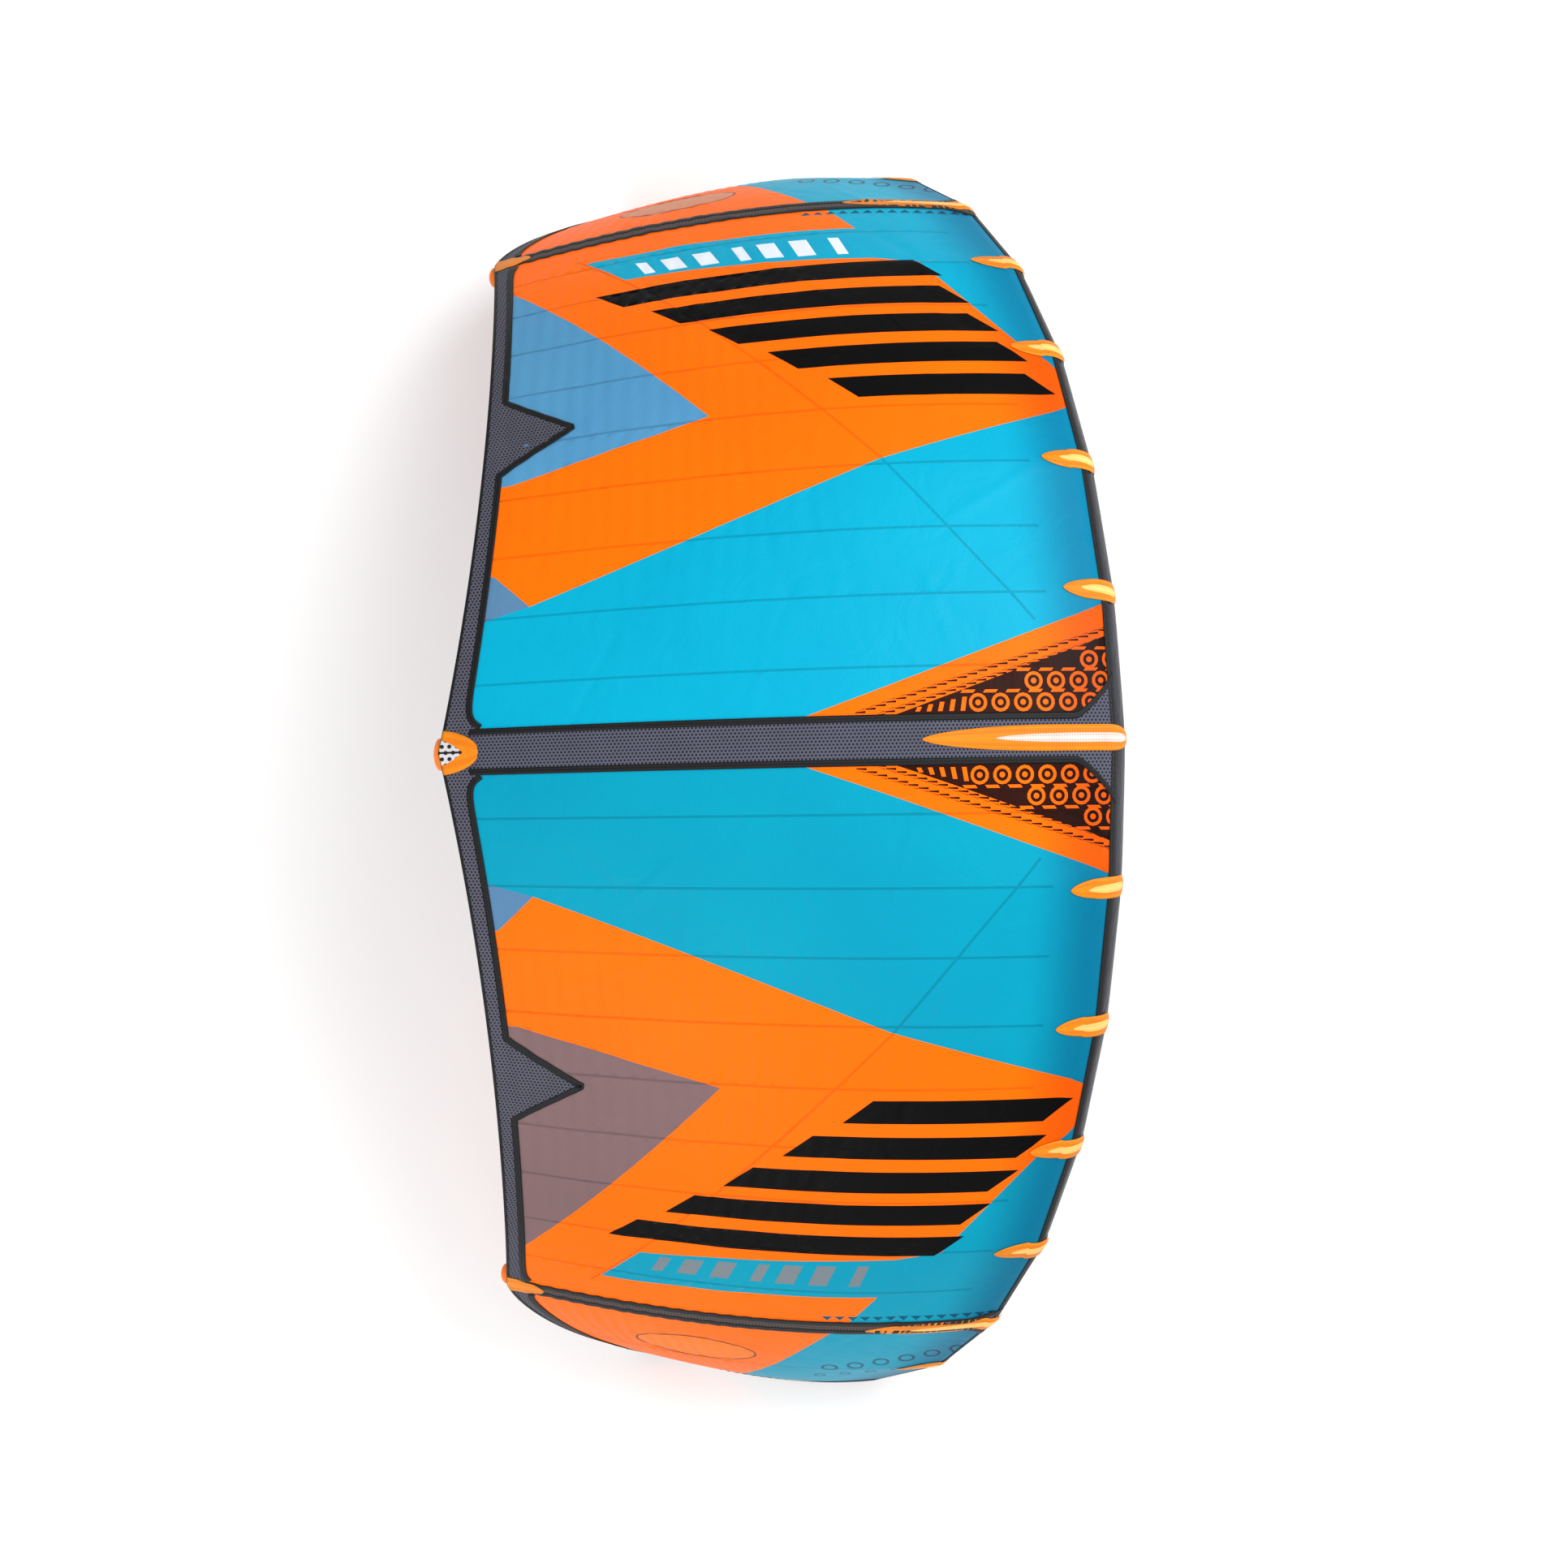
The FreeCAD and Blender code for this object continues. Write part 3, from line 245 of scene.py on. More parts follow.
def skin(s, share, lift=0.0025):
    return stand(rawSkin(s, share, lift))


def shareOf(s, y):                    # outline corners are given by their distance aft
    reach = abs(s)
    start = float(seamStart(reach))
    if y >= start:
        return min((y - start) / float(canopyLength(reach)), 1)
    return max((y - start) / float(wrapLength(reach)), -1)


# Finishes: one maker for each kind of cloth, mesh, tape and plastic.

def addNode(tree, kind, values=None, **settings):
    made = tree.nodes.new("ShaderNode" + kind)
    for name, value in settings.items():
        setattr(made, name, value)
    for name, value in (values or {}).items():
        if isinstance(value, bpy.types.NodeSocket):
            tree.links.new(value, made.inputs[name])
        else:
            made.inputs[name].default_value = value
    return made


def linear(rgb):
    return tuple((c / 255 / 12.92) if c <= 10 else ((c / 255 + 0.055) / 1.055) ** 2.4
                 for c in rgb) + (1,)


def calc(tree, operation, a, b=0.0, c=0.0):
    return addNode(tree, "Math", {0: a, 1: b, 2: c}, operation=operation).outputs[0]


def mixColour(tree, factor, a, b, blend="MIX"):
    made = addNode(tree, "Mix", data_type="RGBA", blend_type=blend)
    for index, value in ((0, factor), (6, a), (7, b)):
        if isinstance(value, bpy.types.NodeSocket):
            tree.links.new(value, made.inputs[index])
        else:
            made.inputs[index].default_value = value
    return made.outputs[2]


def newFinish(name, roughness, sheen=0.0, coat=0.0, gloss=0.25):
    made = bpy.data.materials.new(name)
    made.use_nodes = True
    tree = made.node_tree
    shader = tree.nodes["Principled BSDF"]
    shader.inputs["Roughness"].default_value = roughness
    shader.inputs["Sheen Weight"].default_value = sheen
    shader.inputs["Specular IOR Level"].default_value = gloss
    shader.inputs["Sheen Roughness"].default_value = 0.4
    shader.inputs["Coat Weight"].default_value = coat
    shader.inputs["Coat Roughness"].default_value = 0.25
    return made, tree, shader


def rows(tree, coordinate, pitch):    # 0..1 waves across one flat coordinate
    turned = calc(tree, "MULTIPLY", coordinate, 2 * math.pi / pitch)
    return calc(tree, "MULTIPLY_ADD", calc(tree, "COSINE", turned), 0.5, 0.5)


def setBump(tree, shader, height):    # height is in metres
    bump = addNode(tree, "Bump", {"Height": height, "Distance": 1.0, "Strength": 1.0})
    tree.links.new(bump.outputs[0], shader.inputs["Normal"])


def flatSockets(tree, name="flat"):
    split = addNode(tree, "SeparateXYZ", {0: addNode(
        tree, "Attribute", attribute_name=name).outputs["Vector"]})
    return split.outputs[0], split.outputs[1]


# tubeShade and shadeWidth set the depth and reach of the painted shadow of the leading-edge tube.
canopyCloth = {
    "ripstop": 0.006, "ripstopDepth": 0.00012, "wrinkleDepth": 0.0035,
    "tubeShade": 0.62, "shadeWidth": 0.19, "seamShade": 0.72, "stitchPitch": 0.009,
    "stitchDepth": 0.0008,
}


def canopyFinish(name, rgb, deep, roughness=0.42):
    made, tree, shader = newFinish(name, roughness, gloss=0.07)
    s, t = flatSockets(tree)
    place = addNode(tree, "TexCoord").outputs["Object"]
    cloud = addNode(tree, "TexNoise", {"Vector": place, "Scale": 2.3, "Detail": 4.0}).outputs[0]
    colour = mixColour(tree, calc(tree, "MULTIPLY", cloud, 0.55), linear(rgb), linear(deep))
    # Painted shadow: towards the leading edge the cloth is darkened, standing for the tube's shadow seen
    # through the cloth.
    paintedTubeShadowMask = addNode(tree, "MapRange", {0: t, 1: 0.0, 2: canopyCloth["shadeWidth"], 3: 1.0, 4: 0.0},
                       interpolation_type="SMOOTHSTEP").outputs[0]
    shade = [c * canopyCloth["tubeShade"] for c in linear(deep)[:3]] + [1]
    colour = mixColour(tree, calc(tree, "MULTIPLY", paintedTubeShadowMask, 0.85), colour, shade)
    seam = addNode(tree, "Attribute", attribute_name="seam").outputs["Fac"]
    stitch = calc(tree, "GREATER_THAN", rows(tree, t, canopyCloth["stitchPitch"]), 0.5)
    dark = [canopyCloth["seamShade"]] * 3 + [1]
    colour = mixColour(tree, calc(tree, "MULTIPLY", seam, 0.8), colour,
                       mixColour(tree, 1.0, colour, dark, "MULTIPLY"))
    weaveS = calc(tree, "POWER", rows(tree, s, canopyCloth["ripstop"]), 14.0)
    weaveT = calc(tree, "POWER", rows(tree, t, canopyCloth["ripstop"]), 14.0)
    weave = calc(tree, "MAXIMUM", weaveS, weaveT)
    colour = mixColour(tree, calc(tree, "MULTIPLY", weave, 0.18), colour, linear(deep))
    tree.links.new(colour, shader.inputs["Base Color"])
    folds = addNode(tree, "TexNoise", {"Vector": place, "Scale": 7.0, "Detail": 5.0,
                                       "Distortion": 1.6}).outputs[0]
    height = calc(tree, "MULTIPLY", folds, canopyCloth["wrinkleDepth"])
    height = calc(tree, "MULTIPLY_ADD", weave, canopyCloth["ripstopDepth"], height)
    height = calc(tree, "MULTIPLY_ADD", calc(tree, "MULTIPLY", seam, stitch), canopyCloth["stitchDepth"],
                  height)
    setBump(tree, shader, height)
    rough = calc(tree, "MULTIPLY_ADD", cloud, 0.16, roughness - 0.08)
    tree.links.new(rough, shader.inputs["Roughness"])
    return made


meshCloth = {"pitch": 0.009, "holeDepth": 0.0006, "tone": 0.72}


def meshFinish(name, rgb, hole, pitch=meshCloth["pitch"]):
    made, tree, shader = newFinish(name, 0.6, gloss=0.15)
    s, t = flatSockets(tree)
    total = 0.0
    for turn in (0, 60, 120):
        a, b = math.cos(math.radians(turn)), math.sin(math.radians(turn))
        along = calc(tree, "MULTIPLY_ADD", s, a, calc(tree, "MULTIPLY", t, b))
        wave = calc(tree, "COSINE", calc(tree, "MULTIPLY", along, 2 * math.pi / pitch))
        total = calc(tree, "ADD", wave, total)
    cell = addNode(tree, "MapRange", {0: total, 1: 0.1, 2: 1.0, 3: 0.0, 4: 1.0}).outputs[0]
    place = addNode(tree, "TexCoord").outputs["Object"]
    cloud = addNode(tree, "TexNoise", {"Vector": place, "Scale": 9.0, "Detail": 3.0}).outputs[0]
    base = mixColour(tree, calc(tree, "MULTIPLY", cloud, 0.5), linear(rgb),
                     linear([c * meshCloth["tone"] for c in rgb]))
    colour = mixColour(tree, cell, base, linear(hole))
    tree.links.new(colour, shader.inputs["Base Color"])
    setBump(tree, shader, calc(tree, "MULTIPLY", cell, -meshCloth["holeDepth"]))
    return made


tapeCloth = {"stitchPitch": 0.007, "ribPitch": 0.0016, "ribDepth": 0.00012, "stitchDepth": 0.0005}


def tapeFinish(name, rgb, thread, roughness=0.5):
    made, tree, shader = newFinish(name, roughness, gloss=0.2)
    along, across = flatSockets(tree, "strip")
    row = calc(tree, "COMPARE", calc(tree, "ABSOLUTE", across), 0.45, 0.12)
    dash = calc(tree, "GREATER_THAN", rows(tree, along, tapeCloth["stitchPitch"]), 0.42)
    stitch = calc(tree, "MULTIPLY", row, dash)
    place = addNode(tree, "TexCoord").outputs["Object"]
    cloud = addNode(tree, "TexNoise", {"Vector": place, "Scale": 14.0, "Detail": 4.0}).outputs[0]
    base = mixColour(tree, cloud, linear(rgb), linear([c * 0.8 for c in rgb]))
    colour = mixColour(tree, stitch, base, linear(thread))
    tree.links.new(colour, shader.inputs["Base Color"])
    rib = calc(tree, "MULTIPLY", rows(tree, along, tapeCloth["ribPitch"]), tapeCloth["ribDepth"])
    height = calc(tree, "MULTIPLY_ADD", stitch, tapeCloth["stitchDepth"], rib)
    setBump(tree, shader, height)
    return made


def solidFinish(name, rgb, roughness=0.45, grain=0.00012, wear=0.25, coat=0.0):
    made, tree, shader = newFinish(name, roughness, coat=coat)
    place = addNode(tree, "TexCoord").outputs["Object"]
    fine = addNode(tree, "TexNoise", {"Vector": place, "Scale": 420.0, "Detail": 2.0}).outputs[0]
    broad = addNode(tree, "TexNoise", {"Vector": place, "Scale": 11.0, "Detail": 5.0}).outputs[0]
    colour = mixColour(tree, calc(tree, "MULTIPLY", broad, wear), linear(rgb),
                       linear([min(255, c * 0.6 + 22) for c in rgb]))
    tree.links.new(colour, shader.inputs["Base Color"])
    rough = calc(tree, "MULTIPLY_ADD", broad, 0.2, roughness - 0.1)
    tree.links.new(rough, shader.inputs["Roughness"])
    setBump(tree, shader, calc(tree, "MULTIPLY", fine, grain))
    return made


tubeCloth = {"weave": 0.0014, "weaveDepth": 0.00008, "foldDepth": 0.003}


def tubeFinish(name, rgb, deep, roughness=0.5):
    made, tree, shader = newFinish(name, roughness, sheen=0.12, coat=0.05)
    place = addNode(tree, "TexCoord").outputs["Object"]
    split = addNode(tree, "SeparateXYZ", {0: place}).outputs
    weave = calc(tree, "MULTIPLY", rows(tree, split[0], tubeCloth["weave"]),
                 rows(tree, split[1], tubeCloth["weave"]))
    cloud = addNode(tree, "TexNoise", {"Vector": place, "Scale": 6.0, "Detail": 5.0}).outputs[0]
    stretched = addNode(tree, "Mapping", {"Vector": place, "Scale": (1.0, 4.0, 4.0)}).outputs[0]
    folds = addNode(tree, "TexNoise", {"Vector": stretched, "Scale": 9.0, "Detail": 4.0,
                                       "Distortion": 1.2}).outputs[0]
    colour = mixColour(tree, cloud, linear(rgb), linear(deep))
    colour = mixColour(tree, calc(tree, "MULTIPLY", weave, 0.2), colour, linear(deep))
    tree.links.new(colour, shader.inputs["Base Color"])
    height = calc(tree, "MULTIPLY_ADD", weave, tubeCloth["weaveDepth"],
                  calc(tree, "MULTIPLY", folds, tubeCloth["foldDepth"]))
    setBump(tree, shader, height)
    tree.links.new(calc(tree, "MULTIPLY_ADD", cloud, 0.18, roughness - 0.09),
                   shader.inputs["Roughness"])
    return made


colours = {
    "tealRight": ((0, 163, 192), (0, 128, 172)), "tealLeft": ((0, 150, 174), (0, 116, 156)),
    "orange": ((252, 108, 0), (240, 88, 0)),
    "windowRight": ((84, 146, 184), (48, 114, 166)), "windowLeft": ((124, 98, 98), (100, 80, 86)),
    "corner": ((84, 126, 160), (68, 102, 140)), "maroon": ((44, 10, 3), (28, 6, 2)),
    "print": ((5, 5, 6), (2, 2, 3)), "dashRight": ((224, 230, 236), (190, 202, 214)),
    "dashLeft": ((118, 128, 134), (94, 106, 116)), "scale": ((0, 84, 112), (0, 62, 88)),
    "badgeRight": ((206, 138, 104), (186, 112, 84)), "badgeLeft": ((232, 120, 30), (210, 98, 16)),
    "badgeEdge": ((140, 70, 40), (112, 52, 30)),
}
canopyFinishes = {name: canopyFinish("canopyCloth_" + name, *pair)
                  for name, pair in colours.items()}
bandMesh = meshFinish("strutBandMesh", (82, 84, 100), (22, 22, 30))
hemMesh = meshFinish("hemMesh", (84, 84, 98), (24, 24, 31))
sideMesh = meshFinish("sideBandMesh", (88, 76, 74), (30, 26, 27), pitch=0.008)
capMesh = meshFinish("capMesh", (206, 204, 206), (34, 32, 36), pitch=0.018)
blackTape = tapeFinish("blackBinding", (7, 7, 9), (38, 40, 44))
orangeTape = tapeFinish("orangePatchCloth", (238, 136, 10), (214, 106, 4))
# The cream and pale finishes are painted highlights for the orange patches, not sewn cloth.
creamHighlightFinish = tapeFinish("paintedPatchHighlight", (255, 206, 120), (250, 170, 60))
paleHighlightFinish = tapeFinish("paintedCentrePatchHighlight", (226, 214, 206), (180, 160, 150))
sleeveCloth = tubeFinish("sleeveCloth", (14, 20, 36), (7, 10, 20))
strutCloth = tubeFinish("strutCloth", (0, 84, 112), (0, 58, 86))
capCloth = tubeFinish("strutCapCloth", (250, 136, 14), (222, 100, 6))
print("finishes ready")


# Mesh helpers: each piece rides on the kite as it is made.

def meshPiece(name, points, faces, finish, layers=None):
    data = bpy.data.meshes.new(name)
    data.from_pydata([tuple(p) for p in points], [], [tuple(int(i) for i in f) for f in faces])
    for layerName, values in (layers or {}).items():
        attribute = data.attributes.new(layerName, "FLOAT_VECTOR", "POINT")
        attribute.data.foreach_set("vector", np.asarray(values, np.float32).ravel())
    for item in finish if isinstance(finish, list) else [finish]:
        data.materials.append(item)
    data.polygons.foreach_set("use_smooth", [True] * len(data.polygons))
    data.update()
    piece = bpy.data.objects.new(name, data)
    bpy.context.scene.collection.objects.link(piece)
    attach(piece, "kite")
    return piece


def thicken(piece, thickness, offset=-1.0):
    solid = piece.modifiers.new("thickness", "SOLIDIFY")
    solid.thickness = thickness
    solid.offset = offset
    return piece


def gridFaces(rowsCount, columns, wrapRound=False):
    faces = []
    last = columns if wrapRound else columns - 1
    for i in range(rowsCount - 1):
        for j in range(last):
            a = i * columns + j
            b = i * columns + (j + 1) % columns
            faces.append((a, b, b + columns, a + columns))
    return faces


class Sewn:                           # gathers strips and patches of one finish into one piece
    def __init__(self):
        self.points, self.faces, self.strips, self.flats = [], [], [], []

    def grid(self, s, share, lift, along, across):
        start = sum(len(p) for p in self.points)
        rowsCount, columns = s.shape
        places = skin(s, share, lift).reshape(-1, 3)
        turn = np.dot(np.cross(places[columns] - places[0], places[1] - places[0]),
                      places[0] - np.array([0, places[0][1], -1.0]))
        for face in gridFaces(rowsCount, columns):
            self.faces.append([start + i for i in (face if turn < 0 else face[::-1])])
        self.points.append(places)
        self.strips.append(np.stack([along, across, 0 * along], -1).reshape(-1, 3))
        length = np.where(share < 0, wrapLength(abs(s)), canopyLength(abs(s)))
        flat = np.stack([s, share * length, 0 * s], -1)
        self.flats.append(flat.reshape(-1, 3))

    def strip(self, s, share, width, lift):      # a tape along a line on the canopy
        length = share * canopyLength(abs(s))
        ways = np.gradient(np.stack([s, length], -1), axis=0)
        ways = unit(ways)
        across = np.linspace(-1, 1, 5)
        sideways = np.stack([ways[:, 1], -ways[:, 0]], -1)
        spotS = s[:, None] + sideways[:, :1] * across * width / 2
        spotT = length[:, None] + sideways[:, 1:] * across * width / 2
        reach = np.clip(spotS, -halfSpan, halfSpan)
        shares = spotT / canopyLength(abs(reach))
        travelled = np.concatenate([[0], np.cumsum(np.hypot(np.diff(s), np.diff(length)))])
        self.grid(reach, np.clip(shares, -2.4, 1), lift,
                  np.repeat(travelled[:, None], 5, 1), np.repeat(across[None], len(s), 0))

    def build(self, name, finish, slot, thickness=0.0008):
        piece = meshPiece(name, np.concatenate(self.points), self.faces, finish,
                          {"strip": np.concatenate(self.strips), "flat": np.concatenate(self.flats)})
        return thicken(piece, thickness)


# Canopy: one sheet, sewn from coloured panels.

# Corners are (distance along the arch, distance aft); each outline is cut on both sides.
wedge = {"inner": 0.062, "nose": -0.06, "tail": 0.77, "teethOuter": 0.325, "darkTail": 0.53,
         "darkOuter": 0.27}           # the printed wedges beside the middle band
panelCuts = [
    ("orange", [(0.41, 1.50), (0.76, 0.55), (0.91, 0.03), (0.93, -0.20), (2.285, -0.20),
                (2.285, 1.80), (0.41, 1.80)]),
    ("corner", [(0.41, 1.50), (0.51, 1.60), (0.51, 1.80), (0.36, 1.80)]),
    ("teal", [(0.97, -0.20), (1.02, 0.04), (1.12, 0.16), (1.42, 0.42), (1.60, 0.60), (1.72, 0.69),
              (1.99, 0.90), (2.285, 1.02), (2.285, -0.20)]),
    ("teal", [(1.49, 1.26), (1.61, 1.38), (1.60, 0.60), (1.42, 0.40), (1.45, 0.55)]),
    ("window", [(0.79, 1.56), (0.93, 1.01), (1.55, 1.60), (1.55, 1.80), (0.79, 1.80)]),
    ("orange", [(wedge["inner"], wedge["tail"]), (0.355, wedge["nose"]), (0.365, -0.20),
                (wedge["inner"], -0.20)]),
    ("maroon", [(wedge["inner"], wedge["darkTail"]), (wedge["darkOuter"], wedge["nose"]),
                (0.275, -0.20), (wedge["inner"], -0.20)]),
]

# Printed bars, longer towards the tip, with slanted ends.
barPrint = {"count": 5, "first": 0.95, "step": 0.105, "width": 0.066, "front": 0.10,
            "frontStep": 0.075, "length": 0.50, "lengthStep": 0.09, "slant": 0.085}
for k in range(barPrint["count"]):
    low = barPrint["first"] + k * barPrint["step"]
    high = low + barPrint["width"]
    front = barPrint["front"] + k * barPrint["frontStep"]
    rear = front + barPrint["length"] + k * barPrint["lengthStep"]
    slant = barPrint["slant"]
    panelCuts.append(("print", [(low, front - slant / 2), (high, front + slant / 2),
                                (high, rear + slant), (low, rear)]))

# Plain slanted dashes on the teal stripe, tooth rows, and a blank oval on the tip.
dashPrint = {"count": 7, "front": 0.62, "pitch": 0.092, "length": 0.052, "low": 1.475, "high": 1.555}
for k in range(dashPrint["count"]):
    front = dashPrint["front"] + k * dashPrint["pitch"]
    rear = front + dashPrint["length"] * (1.0 if k % 3 else 0.6)
    panelCuts.append(("dash", [(dashPrint["low"] + 0.004 * k, front), (dashPrint["high"], front + 0.03),
                               (dashPrint["high"], rear + 0.03), (dashPrint["low"] + 0.004 * k, rear)]))
teethPrint = {"count": 27, "pitch": 0.0272, "depth": 0.010, "rows": (0.034, 0.058), "tail": 0.66,
              "cord": 0.003}
wedgeSlope = (wedge["teethOuter"] - wedge["inner"]) / (wedge["tail"] - wedge["nose"])
for inset in teethPrint["rows"]:
    for k in range(teethPrint["count"]):
        y = teethPrint["tail"] - inset - k * teethPrint["pitch"]
        edge = wedge["inner"] + (wedge["tail"] - y) * wedgeSlope - inset
        ahead = y - teethPrint["pitch"]
        cord = teethPrint["cord"]
        panelCuts.append(("maroon", [(edge, y), (edge + teethPrint["pitch"] * wedgeSlope, ahead),
                                     (edge + teethPrint["depth"], y - teethPrint["pitch"] * 0.9)]))
        panelCuts.append(("maroon", [(edge, y), (edge + cord, ahead), (edge - cord, ahead),
                                     (edge - cord, y)]))


def ringCut(s, y, radius, thick, colour, ground):
    for reach, name in ((radius, colour), (radius - thick, ground)):
        panelCuts.append((name, [(s + reach * math.cos(a), y + reach * math.sin(a))
                                 for a in np.linspace(0, 2 * math.pi, 14, endpoint=False)]))


def barCut(s, y, width, length, lean, colour):
    panelCuts.append((colour, [(s, y), (s + width, y - lean), (s + width, y - lean + length),
                               (s, y + length)]))


ringPrint = {"pitch": 0.060, "radius": 0.0245, "thick": 0.0085, "dot": 0.0075, "rowStep": 0.055,
             "tail": 0.30, "bar": 0.008, "barLength": 0.034, "first": 0.031,
             "margin": 0.006}
printSlope = (wedge["darkOuter"] - wedge["inner"]) / (wedge["darkTail"] - wedge["nose"])
for row in range(3):
    for k in range(9):
        y = ringPrint["tail"] - (k + row % 2 / 2) * ringPrint["pitch"]
        s = wedge["inner"] + ringPrint["first"] + row * ringPrint["rowStep"]
        limit = wedge["inner"] + (wedge["darkTail"] - y) * printSlope - ringPrint["margin"]
        if s + ringPrint["radius"] < limit:
            ringCut(s, y, ringPrint["radius"], ringPrint["thick"], "orange", "maroon")
            ringCut(s, y, ringPrint["dot"], ringPrint["dot"] - 0.001, "orange", "orange")
            barCut(s + ringPrint["radius"] + 0.001, y + 0.012, ringPrint["bar"],
                   ringPrint["barLength"], 0.006, "orange")
for k in range(5):                    # short bars run out along the print's tail
    barCut(0.072, 0.335 + k * 0.030, 0.012 + 0.03 * (4 - k) / 5, 0.012, 0.006, "orange")
for k in range(8):                    # rings and teeth on the tip's front
    y = 0.22 + k * 0.075
    ringCut(1.86 + 0.02 * k, y, 0.026, 0.009, "scale", "teal")
    ringCut(1.95 + 0.02 * k, y + 0.03, 0.018, 0.007, "scale", "teal")
for k in range(14):
    y = 0.26 + k * 0.036
    panelCuts.append(("scale", [(1.685, y), (1.703, y + 0.016), (1.685, y + 0.032)]))
for grow, colour in ((0.007, "badgeEdge"), (0.0, "badge")):
    panelCuts.append((colour, [(1.93 + (0.07 + grow) * math.cos(a), 1.13 + (0.17 + grow) * math.sin(a))
                               for a in np.linspace(0, 2 * math.pi, 28, endpoint=False)]))

seamHalf = 0.0035                     # half a sewn seam's width
seamFrom = 0.12                       # the seams show from here aft
midPlaces = [(a + b) / 2 for a, b in zip(joints[:5], joints[1:6])]
seamPlaces = list(joints[1:5]) + midPlaces + [joints[6]]
diagonalSeam = [(0.31, 0.14), (0.77, 0.545), (1.64, 1.41)]
for (s0, y0), (s1, y1) in zip(diagonalSeam, diagonalSeam[1:]):
    panelCuts.append(("seam", [(s0, y0), (s1, y1), (s1 - 0.005, y1 + 0.005), (s0 - 0.005, y0 + 0.005)]))


def layoutT(share):
    return np.where(share < 0, share * flatWrap, share * flatLength)


def layoutShare(t):
    return np.where(t < 0, t / flatWrap, t / flatLength)


def layoutPoint(side, s, y):
    return side * s, float(layoutT(np.float64(shareOf(s, y))))


def inside(outline, x, y):
    found = np.zeros(len(x), bool)
    for (x0, y0), (x1, y1) in zip(outline, outline[1:] + outline[:1]):
        crosses = (y0 > y) != (y1 > y)
        with np.errstate(divide="ignore", invalid="ignore"):
            found ^= crosses & (x < (x1 - x0) * (y - y0) / (y1 - y0) + x0)
    return found


def cutCanopy():
    columns = np.linspace(-halfSpan, halfSpan, 321)
    aft = np.concatenate([np.linspace(-1, -0.2, 5) * flatWrap, np.linspace(0, 1, 131) * flatLength])
    gridS, gridT = np.meshgrid(columns, aft, indexing="ij")
    points = [Vector(p) for p in np.stack([gridS.ravel(), gridT.ravel()], -1)]
    edges = []
    outlines = []

    def addLine(line, closed):
        first = len(points)
        for a, b in zip(line, line[1:] + line[:1]):
            steps = max(1, int(math.hypot(b[0] - a[0], b[1] - a[1]) / 0.05))
            for k in range(steps):
                points.append(Vector((a[0] + (b[0] - a[0]) * k / steps,
                                      a[1] + (b[1] - a[1]) * k / steps)))
            if not closed and b is line[-1]:
                points.append(Vector(b))
                break
        count = len(points) - first
        for k in range(count if closed else count - 1):
            edges.append((first + k, first + (k + 1) % count))

    for side in (1, -1):
        for name, outline in panelCuts:
            spots = [layoutPoint(side, *corner) for corner in outline]
            outlines.append((name, side, spots))
            addLine(spots, True)
        for place in seamPlaces:
            for off in (-seamHalf, seamHalf):
                x = side * min(place + off, halfSpan)
                addLine([(x, seamFrom), (x, flatLength)], False)
    cut = delaunay_2d_cdt(points, edges, [], 0, 1e-6)
    spots = np.array([tuple(v) for v in cut[0]])
    faces = np.array([f[::-1] for f in cut[2]])
    return spots, faces, outlines


spots, faces, outlines = cutCanopy()
middles = spots[faces].mean(1)
names = list(canopyFinishes)
chosen = np.where(middles[:, 0] > 0, names.index("tealRight"), names.index("tealLeft"))
seamed = np.zeros(len(middles))
for name, side, outline in outlines:
    if name == "seam":
        seamed[inside(outline, middles[:, 0], middles[:, 1])] = 1
        continue
    sided = name + ("Right" if side > 0 else "Left")
    chosen[inside(outline, middles[:, 0], middles[:, 1])] = names.index(
        sided if sided in names else name)
for place in seamPlaces:
    seamed[abs(abs(middles[:, 0]) - place) < seamHalf] = 1
seamed[middles[:, 1] < seamFrom] = 0
canopyShares = layoutShare(spots[:, 1])
spotsUp = skin(spots[:, 0], canopyShares)
distances = np.where(spots[:, 1] < 0, spots[:, 1], canopyShares * canopyLength(abs(spots[:, 0])))
flatSpots = np.stack([spots[:, 0], distances, 0 * distances], -1)
firstFace = spotsUp[faces[0]]
if np.cross(firstFace[1] - firstFace[0], firstFace[2] - firstFace[0])[2] < 0:
    faces = faces[:, ::-1]
canopy = meshPiece("canopy", spotsUp, faces, list(canopyFinishes.values()),
                   {"flat": flatSpots})
canopy.data.polygons.foreach_set("material_index", chosen.astype(np.int32))
seamLayer = canopy.data.attributes.new("seam", "FLOAT", "FACE")
seamLayer.data.foreach_set("value", seamed.astype(np.float32))
canopy.data.update()
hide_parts(*[n for n in frame["nodes"] if n.startswith("canopy_")])
print("canopy", len(spots), "points")


# Hem, bands and patches sewn onto the canopy.

trim = {"lift": 0.0042, "patchLift": 0.0054, "binding": 0.018, "tipTape": 0.026,
        "layer": 0.0009}              # lifts off the canopy, and each cloth on a patch


def lineAcross(first, last, count):
    return np.linspace(first, last, count)


def downRows(values, columns):        # one value a row, the same all the way across
    return np.repeat(values[:, None], columns, 1)


def acrossRows(values, count):        # one line across, the same in every row
    return np.repeat(values[None], count, 0)


def hemShare(s, inset):
    return 1 - inset / canopyLength(abs(s))


